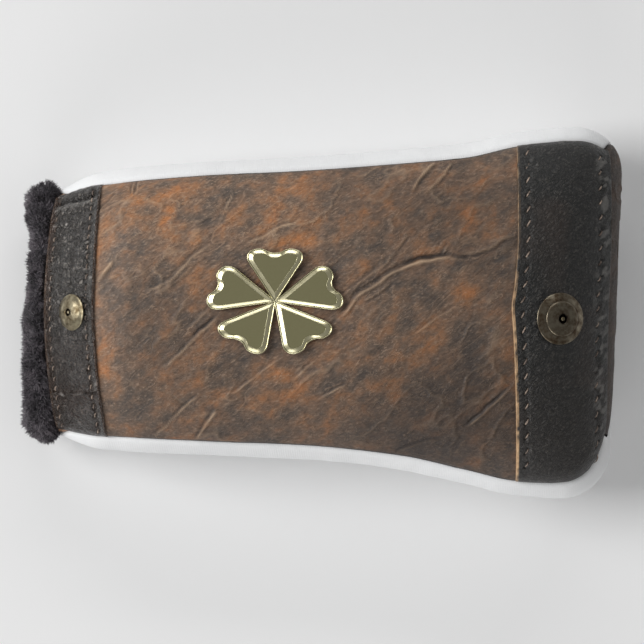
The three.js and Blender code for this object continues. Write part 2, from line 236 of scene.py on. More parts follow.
def surface(station, angle, depth=0.0):
    """Points of the pouch. The angle runs from the +Y side (0) over the front (pi / 2)."""
    station, angle, depth = np.broadcast_arrays(station, angle, depth)
    middle, width, mid, front, back = section(station, depth)
    across = power(np.cos(angle), 2 / FRONT_SQUARENESS)
    rise = np.where(
        np.sin(angle) >= 0,
        front * superellipse(across, FRONT_SQUARENESS),
        -back * superellipse(across, BACK_SQUARENESS),
    )
    y = middle + width * across
    bow = RIM_BOW * (1 - across**2) * (1 - smooth(station, RIM, -40))
    slant = TOE_SLANT / 2 * (1 - y / 40) * smooth(station, 40, TOE)
    x = station - depth * along(station, TOE_RUN_FRONT) - bow - slant
    return np.stack([x, y, np.maximum(depth, mid + rise)], -1)


def front_seam(station):
    """Height of the seam between the front panel and the white band."""
    width, mid, front = section(station, 0.0)[1:4]
    rise = superellipse(1 - seam_inset(station) / width, FRONT_SQUARENESS)
    wrap = smooth(station, TOE_WRAP_FROM, TOE_WRAP_TO)
    return (mid + front * rise) * (1 - wrap) + (mid - TOE_WRAP) * wrap


def seam_angle(station, lift):
    """The angle at which the surface stands `lift` above the front seam."""
    mid, front, back = section(station, 0.0)[2:]
    height = front_seam(station) + lift - mid
    rise_front = np.clip(height / np.maximum(front, 1e-6), 0, 1)
    rise_back = np.clip(-height / np.maximum(back, 1e-6), 0, 1)
    over = np.arccos(superellipse(rise_front, FRONT_SQUARENESS) ** (FRONT_SQUARENESS / 2))
    under = np.arccos(superellipse(rise_back, BACK_SQUARENESS) ** (FRONT_SQUARENESS / 2))
    return np.where(height > 0, over, -under)


def normals(station, angle, depth=0.0):
    """Outward normals of the surface."""
    along_x = surface(station + 0.3, angle, depth) - surface(station - 0.3, angle, depth)
    around = surface(station, angle - 0.01, depth) - surface(station, angle + 0.01, depth)
    n = np.cross(along_x, around)
    return n / np.maximum(np.linalg.norm(n, axis=-1, keepdims=True), 1e-9)


# ---------------------------------------------------------------- meshes

def make_mesh(name, points, faces, material, replaces=(), fields=None):
    """A smooth mesh object from points in mm and faces with equal numbers of corners."""
    points = np.asarray(points, float).reshape(-1, 3) * MM
    faces = np.asarray(faces, np.int32)
    mesh = bpy.data.meshes.new(name)
    mesh.vertices.add(len(points))
    mesh.vertices.foreach_set("co", points.ravel())
    corners = faces.shape[1]
    mesh.loops.add(faces.size)
    mesh.loops.foreach_set("vertex_index", faces.ravel())
    mesh.polygons.add(len(faces))
    mesh.polygons.foreach_set("loop_start", np.arange(0, faces.size, corners, dtype=np.int32))
    mesh.polygons.foreach_set("use_smooth", np.ones(len(faces), bool))
    mesh.update(calc_edges=True)
    for key, values in (fields or {}).items():
        layer = mesh.attributes.new(key, "FLOAT", "POINT")
        layer.data.foreach_set("value", np.asarray(values, np.float32).ravel())
    return place(bpy.data.objects.new(name, mesh), material, replaces)


def place(piece, material, replaces=()):
    """Puts a piece in the scene, attaches it to the frame's root body and hides the CAD parts that
    it replaces.
    """
    bpy.context.scene.collection.objects.link(piece)
    piece.data.materials.append(material)
    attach(piece, "root")
    if replaces:
        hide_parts(*replaces)
    return piece


def grid_faces(rows, columns, wrap_rows=False, wrap_columns=False):
    """Quads between the points of a grid, round on itself where it wraps."""
    r = np.arange(rows if wrap_rows else rows - 1)[:, None]
    c = np.arange(columns if wrap_columns else columns - 1)[None, :]
    r2, c2 = (r + 1) % rows, (c + 1) % columns
    quads = [r * columns + c, r * columns + c2, r2 * columns + c2, r2 * columns + c]
    return np.stack(np.broadcast_arrays(*quads), -1).reshape(-1, 4)


# ---------------------------------------------------------------- materials

class Nodes:
    """A small helper that builds one node material."""

    def __init__(self, name):
        self.material = bpy.data.materials.new(name)
        self.material.use_nodes = True
        self.tree = self.material.node_tree
        self.tree.nodes.clear()
        self.output = self.add("ShaderNodeOutputMaterial")
        self.position = self.add("ShaderNodeTexCoord").outputs["Object"]

    def add(self, kind, inputs=None, **settings):
        node = self.tree.nodes.new(kind)
        for key, value in settings.items():
            setattr(node, key, value)
        for key, value in (inputs or {}).items():
            if isinstance(value, bpy.types.NodeSocket):
                self.tree.links.new(value, node.inputs[key])
            else:
                node.inputs[key].default_value = value
        return node

    def place(self, turn=0.0, stretch=1.0, across=1.0, warp=0.0, warp_size=3.0):
        """Positions in mm, warped by up to `warp` mm and turned about Z.

        What is drawn on them is stretched along the turned X, and across it.
        """
        vector = self.position
        if warp:
            inputs = {"Vector": vector, "Scale": 1000 / warp_size, "Detail": 2}
            swirl = self.add("ShaderNodeTexNoise", inputs).outputs["Color"]
            centred = self.vector_math("SUBTRACT", {0: swirl, 1: (0.5, 0.5, 0.5)})
            moved = self.vector_math("SCALE", {0: centred, "Scale": 2 * warp * MM})
            vector = self.vector_math("ADD", {0: vector, 1: moved})
        inputs = {"Vector": vector, "Angle": math.radians(-turn)}
        vector = self.add("ShaderNodeVectorRotate", inputs, rotation_type="Z_AXIS").outputs[0]
        scale = (1000 / stretch, 1000 / across, 1000)
        return self.vector_math("MULTIPLY", {0: vector, 1: scale})

    def vector_math(self, operation, inputs):
        return self.add("ShaderNodeVectorMath", inputs, operation=operation).outputs[0]

    def noise(self, size, detail=3.0, roughness=0.5, distortion=0.0, **placing):
        inputs = {
            "Vector": self.place(**placing),
            "Scale": 1 / size,
            "Detail": detail,
            "Roughness": roughness,
            "Distortion": distortion,
        }
        return self.add("ShaderNodeTexNoise", inputs).outputs["Fac"]

    def voronoi(self, size, feature="F1", randomness=1.0, **placing):
        inputs = {"Vector": self.place(**placing), "Scale": 1 / size, "Randomness": randomness}
        return self.add("ShaderNodeTexVoronoi", inputs, feature=feature).outputs["Distance"]

    def total(self, *parts):
        """The sum of (value, weight) pairs."""
        out = 0.0
        for value, weight in parts:
            out = self.math("MULTIPLY_ADD", value, weight, out)
        return out

    def attribute(self, name):
        return self.add("ShaderNodeAttribute", attribute_name=name).outputs["Fac"]

    def math(self, operation, a, b=0.0, c=0.0):
        return self.add("ShaderNodeMath", {0: a, 1: b, 2: c}, operation=operation).outputs[0]

    def times(self, a, b):
        return self.math("MULTIPLY", a, b)

    def off(self, value, level):
        """How far a value is from a level."""
        return self.math("ABSOLUTE", self.math("SUBTRACT", value, level))

    def remap(self, value, low, high, to_low=0.0, to_high=1.0):
        inputs = {
            "Value": value, "From Min": low, "From Max": high, "To Min": to_low, "To Max": to_high,
        }
        return self.add("ShaderNodeMapRange", inputs, clamp=True).outputs[0]

    def ramp(self, value, stops):
        node = self.add("ShaderNodeValToRGB", {"Fac": value})
        elements = node.color_ramp.elements
        while len(elements) < len(stops):
            elements.new(0.5)
        for element, (position, color) in zip(elements, stops):
            element.position = position
            element.color = (*color, 1)
        return node.outputs["Color"]

    def mix(self, factor, a, b):
        colors = [(*c, 1) if isinstance(c, tuple) else c for c in (a, b)]
        inputs = {0: factor, 6: colors[0], 7: colors[1]}
        return self.add("ShaderNodeMix", inputs, data_type="RGBA").outputs[2]

    def tint(self, base, tone, value, low, high, amount):
        """The base with up to `amount` of a tone, as a value goes from low to high."""
        return self.mix(self.remap(value, low, high, 0, amount), base, srgb(*tone))

    def bump(self, height, distance=1.0):
        """A surface normal from heights; `distance` is the mm that a height of 1 stands for."""
        inputs = {"Height": height, "Distance": distance * MM}
        return self.add("ShaderNodeBump", inputs).outputs["Normal"]

    def finish(self, **sockets):
        """The material, with one principled shader that has these sockets set."""
        inputs = {key.replace("_", " "): value for key, value in sockets.items()}
        for key, value in inputs.items():
            if isinstance(value, tuple) and len(value) == 3:
                inputs[key] = (*value, 1)
        shader = self.add("ShaderNodeBsdfPrincipled", inputs)
        self.tree.links.new(shader.outputs[0], self.output.inputs["Surface"])
        return self.material


def srgb(red, green, blue):
    """A colour given from 0 to 255 as a screen shows it, turned to linear light."""
    return tuple(
        ((c / 255 + 0.055) / 1.055) ** 2.4 if c > 10 else c / 255 / 12.92
        for c in (red, green, blue)
    )


def shaded(color, factor):
    return tuple(c * factor for c in color)


def brown_leather():
    """Waxed, rubbed brown leather: orange-brown and slate patches, fibres and fine wrinkles, with
    painted shade and painted highlights from the `pale` and `dark` marks and along the thin wrinkle
    lines.
    """
    n = Nodes("brown_leather")
    along = {"turn": GRAIN}
    patches = n.noise(13, 3, 0.5, turn=48, stretch=1.3, warp=4, warp_size=12)
    mottle = n.noise(4.5, 5, 0.52, stretch=1.4, warp=1.5, warp_size=5, **along)
    # the painted shade and darker patches in `dark` also pull the tone down
    tone = n.total((patches, 0.5), (mottle, 0.5), (n.attribute("dark"), -0.05))
    color = n.ramp(tone, [
        (0.34, srgb(86, 76, 69)),
        (0.42, srgb(108, 91, 78)),
        (0.50, srgb(131, 104, 84)),
        (0.57, srgb(153, 112, 81)),
        (0.66, srgb(184, 122, 75)),
    ])
    slate = n.noise(7, 4, 0.55, warp=3, warp_size=9, turn=30, stretch=1.3)
    color = n.tint(color, (82, 78, 76), slate, 0.57, 0.72, 0.55)
    fibres = n.noise(0.75, 4, 0.6, stretch=3.0, warp=0.5, **along)
    level = n.noise(0.6, 4, 0.65, turn=6, stretch=2.6, warp=0.4)
    fine = n.total((fibres, 0.5), (level, 0.5))
    wave = n.noise(9.0, 2, 0.5, stretch=4.2, warp=0.5, warp_size=5, **along)
    ripple = n.noise(2.6, 3, 0.55, turn=30, stretch=3.2, warp=0.4, warp_size=3)
    area = n.noise(14, 2, 0.5)
    # thin wrinkle lines: painted shade in each line's groove and a painted highlight just beside it
    line = n.remap(n.off(wave, 0.5), 0.011, 0.002)
    beside = n.remap(n.off(wave, 0.514), 0.010, 0.002)
    web = n.remap(n.off(ripple, 0.5), 0.018, 0.004)
    some = n.remap(area, 0.46, 0.6, 0, 0.6)
    line = n.times(line, some)
    beside = n.times(beside, some)
    web = n.times(web, n.remap(area, 0.6, 0.45))
    color = n.tint(color, (58, 45, 38), fine, 0.49, 0.38, 0.46)
    color = n.tint(color, (206, 176, 150), fine, 0.53, 0.66, 0.40)
    color = n.mix(n.times(web, 0.3), color, srgb(206, 172, 142))
    # painted highlight beside each thin line, then painted shade in it
    color = n.mix(n.times(beside, 0.25), color, srgb(212, 178, 146))
    color = n.mix(n.times(line, 0.25), color, srgb(52, 40, 34))
    # pale: scuffing and painted highlights on crease and fold crests; dark: painted shade and the
    # panel's darker patches
    color = n.mix(n.times(n.attribute("pale"), 0.85), color, srgb(214, 182, 150))
    color = n.tint(color, (42, 33, 29), n.attribute("dark"), 0.0, 1.5, 0.92)
    height = n.total((fine, 0.4), (mottle, 0.25), (ripple, 0.34), (line, -0.07), (web, 0.08))
    return n.finish(
        Base_Color=color,
        Roughness=n.remap(fine, 0.35, 0.7, 0.6, 0.42),
        Specular_IOR_Level=0.4,
        Normal=n.bump(height),
    )


def black_leather(name, pebble, depth, turn, black, glint, shine, edge_colors):
    """Dyed black leather with a crumpled or a fine grain, rubbed brown where `worn` is high.

    The grain is `pebble` mm wide and `depth` mm deep; its tops are paler by `glint`, a painted
    highlight, and its valleys darker, painted shade.
    """
    n = Nodes(name)
    placing = {"turn": turn, "warp": pebble * 0.5, "warp_size": pebble * 1.5}
    fold = n.noise(pebble * 1.7, 4, 0.62, stretch=1.9, **placing)
    crinkle = n.off(fold, 0.5)
    other = n.noise(pebble, 3, 0.6, turn=turn - 55, stretch=1.7, warp=pebble * 0.3)
    nick = n.off(other, 0.5)
    wide = n.noise(pebble * 3, 3, 0.55, turn=turn + 20, stretch=1.8)
    facet = n.voronoi(pebble * 1.5, "DISTANCE_TO_EDGE", stretch=1.7, **placing)
    hatch = n.noise(0.55, 3, 0.6, turn=GRAIN, stretch=3.2)
    base = n.mix(n.noise(7, 3, 0.6), black, shaded(black, 1.6))
    worn = n.attribute("worn")
    brown = n.mix(n.noise(1.6, 4, 0.65), srgb(54, 41, 35), srgb(88, 68, 56))
    base = n.mix(worn, base, brown)
    # painted highlight on the grain's tops, less of it where the leather is worn
    tops = n.times(n.remap(crinkle, 0.03, 0.09), n.remap(nick, 0.02, 0.07))
    tops = n.times(tops, n.remap(wide, 0.36, 0.6, 0.25, 1))
    tops = n.times(tops, n.remap(facet, 0.03, 0.14))
    tops = n.times(tops, n.remap(worn, 0, 0.5, 1, 0.45))
    base = n.mix(n.times(tops, glint), base, srgb(166, 158, 149))
    base = n.tint(base, (126, 120, 114), hatch, 0.53, 0.68, 0.16)
    # painted shade in the grain's valleys
    valleys = n.math("MAXIMUM", n.remap(facet, 0.05, 0.0), n.remap(nick, 0.02, 0.0, 0, 0.7))
    base = n.mix(n.times(valleys, 0.7), base, shaded(black, 0.25))
    low, high = edge_colors
    tan = n.mix(n.noise(1.0, 3, 0.6, turn=90, stretch=3), low, high)
    base = n.mix(n.attribute("raw"), base, tan)
    # pale: painted highlights on the mouth strap, pale grey streaks on the toe strap; dark: painted
    # shade
    base = n.mix(n.attribute("pale"), base, srgb(190, 186, 180))
    base = n.mix(n.attribute("dark"), base, shaded(black, 0.25))
    height = n.total(
        (n.remap(crinkle, 0, 0.1), depth),
        (n.remap(nick, 0, 0.08), depth * 0.5),
        (n.remap(facet, 0, 0.3), depth * 0.9),
        (fold, depth * 2.5),
        (hatch, 0.14),
    )
    return n.finish(
        Base_Color=base,
        Roughness=n.remap(fold, 0.35, 0.65, 0.5 - 0.2 * shine, 0.36 - 0.14 * shine),
        Specular_IOR_Level=min(0.4 + 0.5 * shine, 1.0),
        Normal=n.bump(height),
    )


def neoprene():
    """White stretch fabric bonded on neoprene: a very fine knit and soft shading of its own."""
    n = Nodes("white_neoprene")
    wales = n.add(
        "ShaderNodeTexWave",
        {"Vector": n.place(turn=8), "Scale": 0.42, "Distortion": 0.6, "Detail": 1},
        wave_type="BANDS",
        bands_direction="X",
    ).outputs["Fac"]
    loops = n.voronoi(0.42, "SMOOTH_F1", turn=8, across=1.6, randomness=0.35)
    tone = n.noise(9, 3, 0.5)
    color = n.mix(tone, srgb(238, 239, 240), srgb(246, 246, 246))
    color = n.tint(color, (196, 198, 202), loops, 0.2, 0.7, 0.12)
    height = n.total((loops, -0.06), (wales, 0.03), (tone, 0.3))
    return n.finish(
        Base_Color=color,
        Roughness=0.82,
        Specular_IOR_Level=0.3,
        Sheen_Weight=0.15,
        Sheen_Roughness=0.5,
        Normal=n.bump(height),
    )


def plush(name, color, patterned=True):
    """Short dense pile."""
    n = Nodes(name)
    sockets = {"Base_Color": color}
    if patterned:
        tuft = n.noise(1.1, 4, 0.7)
        sockets["Base_Color"] = n.mix(tuft, shaded(color, 0.5), shaded(color, 1.7))
        sockets["Normal"] = n.bump(n.times(tuft, 1.4))
    return n.finish(
        Roughness=0.75,
        Specular_IOR_Level=0.25,
        Sheen_Weight=0.25,
        Sheen_Roughness=0.45,
        **sockets,
    )


def foam():
    """Open-cell foam."""
    n = Nodes("padding_foam")
    bubbles = n.voronoi(0.9)
    color = n.mix(n.remap(bubbles, 0.1, 0.6), srgb(196, 186, 160), srgb(226, 218, 196))
    return n.finish(Base_Color=color, Roughness=0.9, Normal=n.bump(bubbles, 0.4))


def ribbed(name, dark, light):
    """Woven elastic with fine ribs."""
    n = Nodes(name)
    ribs = n.add(
        "ShaderNodeTexWave",
        {"Vector": n.place(), "Scale": 0.6, "Distortion": 0.3},
        bands_direction="X",
    ).outputs["Fac"]
    return n.finish(
        Base_Color=n.mix(ribs, dark, light),
        Roughness=0.8,
        Normal=n.bump(n.times(ribs, 0.3)),
    )


def thread():
    """Waxed twisted thread, dulled with use."""
    n = Nodes("tan_thread")
    plies = n.noise(0.35, 2, 0.5, turn=50, stretch=3)
    soil = n.noise(2.4, 3, 0.6)
    color = n.mix(n.remap(soil, 0.35, 0.65), srgb(84, 70, 62), srgb(182, 162, 146))
    color = n.tint(color, (70, 56, 48), plies, 0.5, 0.35, 0.6)
    return n.finish(
        Base_Color=color, Roughness=0.6, Normal=n.bump(n.times(plies, 0.2))
    )


def antique_brass(name, bright, dull):
    """Brass with a mottled patina, dark where `recess` is high: patina and painted shade."""
    n = Nodes(name)
    patina = n.noise(2.6, 5, 0.65)
    scratches = n.noise(0.5, 3, 0.7, turn=20, stretch=5)
    color = n.mix(n.remap(patina, 0.38, 0.66), bright, dull)
    color = n.mix(n.attribute("recess"), color, srgb(30, 24, 19))
    return n.finish(
        Base_Color=color,
        Metallic=1.0,
        Roughness=n.remap(patina, 0.35, 0.7, 0.28, 0.46),
        Normal=n.bump(n.times(scratches, 0.03)),
    )


def pale_gold():
    """Polished pale gold, with painted shade where `recess` is high: in its grooves, at its foot and
    beside the enamel.
    """
    n = Nodes("pale_gold")
    haze = n.noise(3, 3, 0.5)
    color = n.mix(haze, srgb(226, 218, 172), srgb(240, 234, 200))
    # painted shade in the grooves and at the edges
    color = n.mix(n.attribute("recess"), color, srgb(84, 76, 30))
    return n.finish(Base_Color=color, Metallic=1.0, Roughness=n.remap(haze, 0.3, 0.7, 0.26, 0.32))


def olive_enamel():
    """Smooth satin enamel."""
    n = Nodes("olive_enamel")
    speckle = n.noise(0.5, 3, 0.6)
    color = n.mix(speckle, srgb(112, 108, 77), srgb(120, 116, 84))
    return n.finish(
        Base_Color=color,
        Roughness=n.remap(speckle, 0.3, 0.7, 0.4, 0.5),
        Specular_IOR_Level=0.4,
        Normal=n.bump(n.times(speckle, 0.02)),
    )


# ---------------------------------------------------------------- pouch skins

def ring_angles(cell):
    """Angles of a ring's points, evenly spaced along it: over the front, then back under."""
    fine = np.linspace(0, math.pi, 4001)
    run = run_of(surface(0.0, fine))
    count = int(run[-1] / cell)
    front = np.interp(np.linspace(0, run[-1], count + 1), run, fine)
    return np.concatenate([front, -front[-2:0:-1]]), count


def ring_stations(cell, start=RIM, hidden=()):
    """Stations evenly spaced along the surface, closing up round the toe end.

    They stand further apart in the `hidden` stretches (from, to), which other pieces cover.
    """
    turn = np.linspace(0, math.pi / 2, 2001)[1:]
    bend = TOE - TOE_RUN_FRONT
    straight = np.linspace(start, bend, 4001)
    station = np.concatenate([straight, bend + TOE_RUN_FRONT * np.sin(turn)])
    run = np.concatenate([straight, bend + TOE_BEND * turn])
    density = np.ones(len(run))
    for low, high in hidden:
        density[(station > low) & (station < high)] = 0.45
    count = np.concatenate([[0], np.cumsum(np.diff(run) * density[1:])])
    steps = int(count[-1] / cell)
    return np.interp(np.linspace(0, count[-1], steps + 1), count, station)


def tube_faces(rows, columns, half):
    """Faces of a tube whose last ring is zipped shut, each point to its mirrored one."""
    faces = grid_faces(rows, columns, wrap_columns=True)
    mirror = np.arange(columns)
    mirror[half + 1:] = columns - mirror[half + 1:]
    last = (rows - 1) * columns
    closing = faces >= last
    faces[closing] = last + mirror[faces[closing] - last]
    return faces


def bmesh_of(points, faces):
    """A bmesh of these points and faces, without the points that no face uses."""
    mesh = bpy.data.meshes.new("pouch")
    mesh.from_pydata(points.reshape(-1, 3).tolist(), [], faces.tolist())
    bm = bmesh.new()
    bm.from_mesh(mesh)
    bpy.data.meshes.remove(mesh)
    bmesh.ops.delete(bm, geom=[v for v in bm.verts if not v.link_faces], context="VERTS")
    return bm


def pouch(cell, hidden=()):
    """The pouch's whole outer face as a bmesh, with its toe end closed."""
    angles, half = ring_angles(cell)
    stations = ring_stations(cell, hidden=hidden)
    points = surface(stations[:, None], angles)
    return bmesh_of(points, tube_faces(len(stations), len(angles), half))


def cut(bm, seam, keep, bands=(0, 0.3, 0.65, 1.1, 1.8), fill=False):
    """Cuts along a seam z = seam(x) and keeps one side, with edges in bands beside the seam.

    A cut that is to be filled gets a face across it. Another has its tiny edges merged.
    """
    for v in bm.verts:
        v.co.z -= seam(v.co.x)
    for band in bands:
        bmesh.ops.bisect_plane(
            bm,
            geom=bm.verts[:] + bm.edges[:] + bm.faces[:],
            dist=1e-4,
            plane_co=(0, 0, keep * band),
            plane_no=(0, 0, keep),
            clear_inner=band == 0,
        )
    if fill:
        bmesh.ops.holes_fill(bm, edges=[e for e in bm.edges if e.is_boundary], sides=0)
    for v in bm.verts:
        v.co.z += seam(v.co.x)
    if not fill:
        bmesh.ops.remove_doubles(bm, verts=bm.verts[:], dist=0.06)


def table_of(curve, low=-95.0, high=105.0, steps=2000):
    values = curve(np.linspace(low, high, steps + 1)).tolist()
    scale = steps / (high - low)

    def look_up(x):
        at = min(max((x - low) * scale, 0), steps - 0.001)
        i = int(at)
        return values[i] + (at - i) * (values[i + 1] - values[i])

    return look_up


def arrays(bm):
    """Points, normals and faces (as triangles) of a bmesh."""
    bmesh.ops.triangulate(bm, faces=[f for f in bm.faces if len(f.verts) > 3])
    mesh = bpy.data.meshes.new("arrays")
    bm.to_mesh(mesh)
    bm.free()
    points = np.empty(len(mesh.vertices) * 3)
    normal = np.empty(len(mesh.vertices) * 3, np.float32)
    faces = np.empty(len(mesh.polygons) * 3, np.int32)
    mesh.vertices.foreach_get("co", points)
    mesh.vertex_normals.foreach_get("vector", normal)
    mesh.loops.foreach_get("vertex_index", faces)
    bpy.data.meshes.remove(mesh)
    return points.reshape(-1, 3), normal.reshape(-1, 3).astype(float), faces.reshape(-1, 3)


def seam_roll(distance, radius, drop):
    """How far a skin sinks as it rolls over into a seam `distance` away."""
    t = np.clip(1 - distance / radius, 0, 1)
    return drop * (1 - np.sqrt(1 - 0.98 * t * t))


def add_crease(p, height, pale, dark, crease):
    """Folds the leather along a smooth line through the crease's points, paints its ridge paler,
    partly as scuffing and partly as a painted highlight, and paints shade in its valley.
    """
    width, ridge, valley, paler, darker, offset, points = crease
    points = np.array(points, float)
    run = run_of(points)
    fine = np.linspace(0, run[-1], max(int(run[-1] / 0.8), 8))
    line = np.column_stack([through(np.column_stack([run, c]))(fine) for c in points.T])
    reach = width * 4 + abs(offset)
    low, high = line.min(0) - reach, line.max(0) + reach
    near = np.flatnonzero(np.all((p[:, :2] > low) & (p[:, :2] < high), axis=1))
    if not len(near):
        return
    wander = 0.35 * np.stack([noise(p[near], 3.0, salt) for salt in (7, 8)], -1)
    q = p[near, :2] + wander
    best = np.full(len(q), 1e9)
    side = np.zeros(len(q))
    share = np.zeros(len(q))
    a, b = line[:-1], line[1:]
    for i in range(len(a)):
        d = b[i] - a[i]
        t = np.clip((q - a[i]) @ d / (d @ d), 0, 1)
        gap = q - a[i] - t[:, None] * d
        distance = np.linalg.norm(gap, axis=1)
        closer = distance < best
        best = np.where(closer, distance, best)
        side = np.where(closer, np.sign(d[0] * gap[:, 1] - d[1] * gap[:, 0]), side)
        share = np.where(closer, (i + t) / len(a), share)
    signed = best * side
    fade = smooth(share, 0.0, 0.18) * (1 - smooth(share, 0.8, 1.0))
    fade = fade * (0.8 + 0.4 * noise(p[near], 5.0, 11))
    crest = bump_at(signed, width) * fade
    trough = bump_at(signed - offset, width) * fade
    height[near] += ridge * crest - valley * trough
    # painted highlight on the crest, partly scuffing too, and painted shade in the trough
    pale[near] += paler * crest**2
    dark[near] += darker * trough


# the pale column is a painted highlight on the ridge, partly scuffing too; the dark column is
# painted shade in the valley
CREASES = [  # (width, ridge, valley, pale, dark, the valley's offset, points (x, y))
    # the long fold right of the badge, its continuation and its branches
    (0.62, 0.85, 0.6, 1.1, 1.2, 1.35, [(4.8, -4.5), (9, 0.5), (13, 5.9), (17.9, 8.6),
     (23.3, 12.3), (28.2, 15), (32.5, 16.4), (37.9, 17.2), (43.2, 17.7), (51.5, 17.2)]),
    (0.5, 0.45, 0.35, 0.6, 0.7, -0.9, [(44, 18.9), (51.3, 19.9), (56.2, 21.5), (59.4, 23.7),
     (65.8, 26.2)]),
    (0.42, 0.4, 0.3, 0.6, 0.6, -0.8, [(19, 13.5), (21.7, 16.1), (23.3, 18.3), (26, 22),
     (30.3, 27.9)]),
    (0.35, 0.25, 0.3, 0.5, 0.7, 0.7, [(39.8, 18), (41.2, 20.5), (42.8, 23)]),
    (0.45, 0.3, 0.35, 0.45, 0.7, 0.8, [(6, 4.5), (12, 9), (18, 13.5), (24, 17.6)]),
    (0.4, 0.3, 0.25, 0.45, 0.5, -0.8, [(14, 3.5), (19, 6.5), (24, 10.4)]),
    (0.4, 0.1, 0.2, 0.25, 0.35, 0.7, [(28, 22), (35, 28), (42, 32)]),
    # left of the badge
    (0.5, 0.4, 0.4, 0.7, 0.7, 0.9, [(-59, 6.5), (-51.2, 9.3), (-45.6, 13.8), (-41.6, 18.3),
     (-37.7, 21.2), (-32.5, 24)]),
    (0.4, 0.2, 0.3, 0.4, 0.6, -0.7, [(-50, 8), (-44.6, 12.4), (-40.2, 16.8), (-36, 19.6)]),
    (0.35, 0.2, 0.25, 0.7, 0.45, 0.7, [(-26, 22.4), (-19.1, 24.5), (-13.4, 27.9), (-7.8, 29.7),
     (-4.4, 32.8)]),
    (0.4, 0.2, 0.2, 0.35, 0.35, 0.7, [(-33.7, 27.9), (-30.4, 34.7), (-28.1, 40.8)]),
    (0.35, 0, 0.4, 0.3, 1, 0.6, [(-60.8, 38.2), (-60.2, 41), (-59.2, 44.6)]),
    (0.3, 0.15, 0.35, 0.4, 0.9, 0.5, [(-62.6, 38), (-61.6, 41), (-60.9, 44.4)]),
    (0.7, 0.6, 0.35, 0.8, 0.9, -1.2, [(-73.5, 9.8), (-71, 13), (-67.2, 17.6)]),
    (0.5, 0.3, 0.3, 0.5, 0.7, -0.9, [(-73.5, 6), (-70, 10), (-66, 13)]),
    (0.4, 0.15, 0.4, 0.3, 1, 0.5, [(-73.5, 33), (-70, 36.3), (-66, 39.6)]),
    # upper right
    (0.45, 0.4, 0.3, 0.9, 0.5, 0.9, [(39.2, 51), (35.7, 47.3), (33, 44.7), (30, 39)]),
    (0.4, 0.35, 0.3, 0.85, 0.5, 0.8, [(44.4, 50.6), (41.1, 45.7), (37.8, 42), (33.6, 38.6)]),
    (0.35, 0.2, 0.2, 0.6, 0.3, 0.7, [(42.4, 43), (40, 39.3), (37.4, 37)]),
    # below the badge and the lower left
    (0.4, 0.1, 0.2, 0.3, 0.3, 0, [(-58, -22), (-44, -30), (-30, -41)]),
    (0.45, 0.45, 0.35, 0.95, 0.9, 0.95, [(-52, -19.5), (-46, -13.6), (-41, -8.6), (-36, -4),
     (-31, 0.5)]),
    (0.4, 0, 0.4, 0, 1.1, 0, [(-42, -8), (-38, -4.2), (-34, -1)]),
    (0.4, 0.2, 0.25, 0.4, 0.5, 0.8, [(-44, -6), (-38, -0.5), (-31, 5)]),
    (0.4, 0.25, 0.25, 0.7, 0.6, 0.8, [(-56, -41.5), (-50, -36.5), (-45, -31.5), (-38, -26)]),
    (0.45, 0.25, 0.25, 0.8, 0.6, 0.8, [(-41, -42.5), (-37, -36), (-33.5, -31.5)]),
    (0.35, 0.2, 0.2, 0.7, 0.5, 0.7, [(-30, -27.5), (-21, -21), (-13, -14.5)]),
    (0.35, 0.2, 0.2, 0.6, 0.4, 0.7, [(-9, -22.3), (-5, -19), (-1, -15.5)]),
    (0.35, 0.2, 0.2, 0.6, 0.4, 0.7, [(-1, -29), (4, -26), (9.4, -23.3)]),
    (0.45, 0.45, 0.4, 1.1, 1, 0.95, [(47, -38.2), (53, -34), (58, -29), (65, -22.8)]),
    (0.4, 0.15, 0.25, 0.4, 0.5, 0.8, [(24, -47), (33, -43), (42, -41)]),
    (0.35, 0.15, 0.2, 0.45, 0.3, 0.7, [(30, -8), (38, -2), (46, 3)]),
]

# darker patches of the panel: partly the leather's own tone and partly painted shade where the light
# falls off towards the bottom and the right
DARK_ZONES = [  # (x, y, radius, strength)
    (52, -34, 24, 0.55),
    (24, -44, 20, 0.45),
    (-20, -50, 18, 0.4),
    (-46, -50, 16, 0.35),
    (56, 10, 12, 0.2),
    (26, 33, 16, 0.4),
    (2, 48, 16, 0.35),
    (-64, -46, 10, 0.35),
    (-54, -5, 22, 0.55),
    (52, 38, 18, 0.5),
    (-50, -32, 18, 0.12),
]


def soft_skin(name, p, normal, height, faces, material, node, fields=None):
    """A skin piece: the points lifted by `height` along their normals."""
    points = p + normal * height[:, None]
    piece = make_mesh(name, points, faces, material, [node], fields)


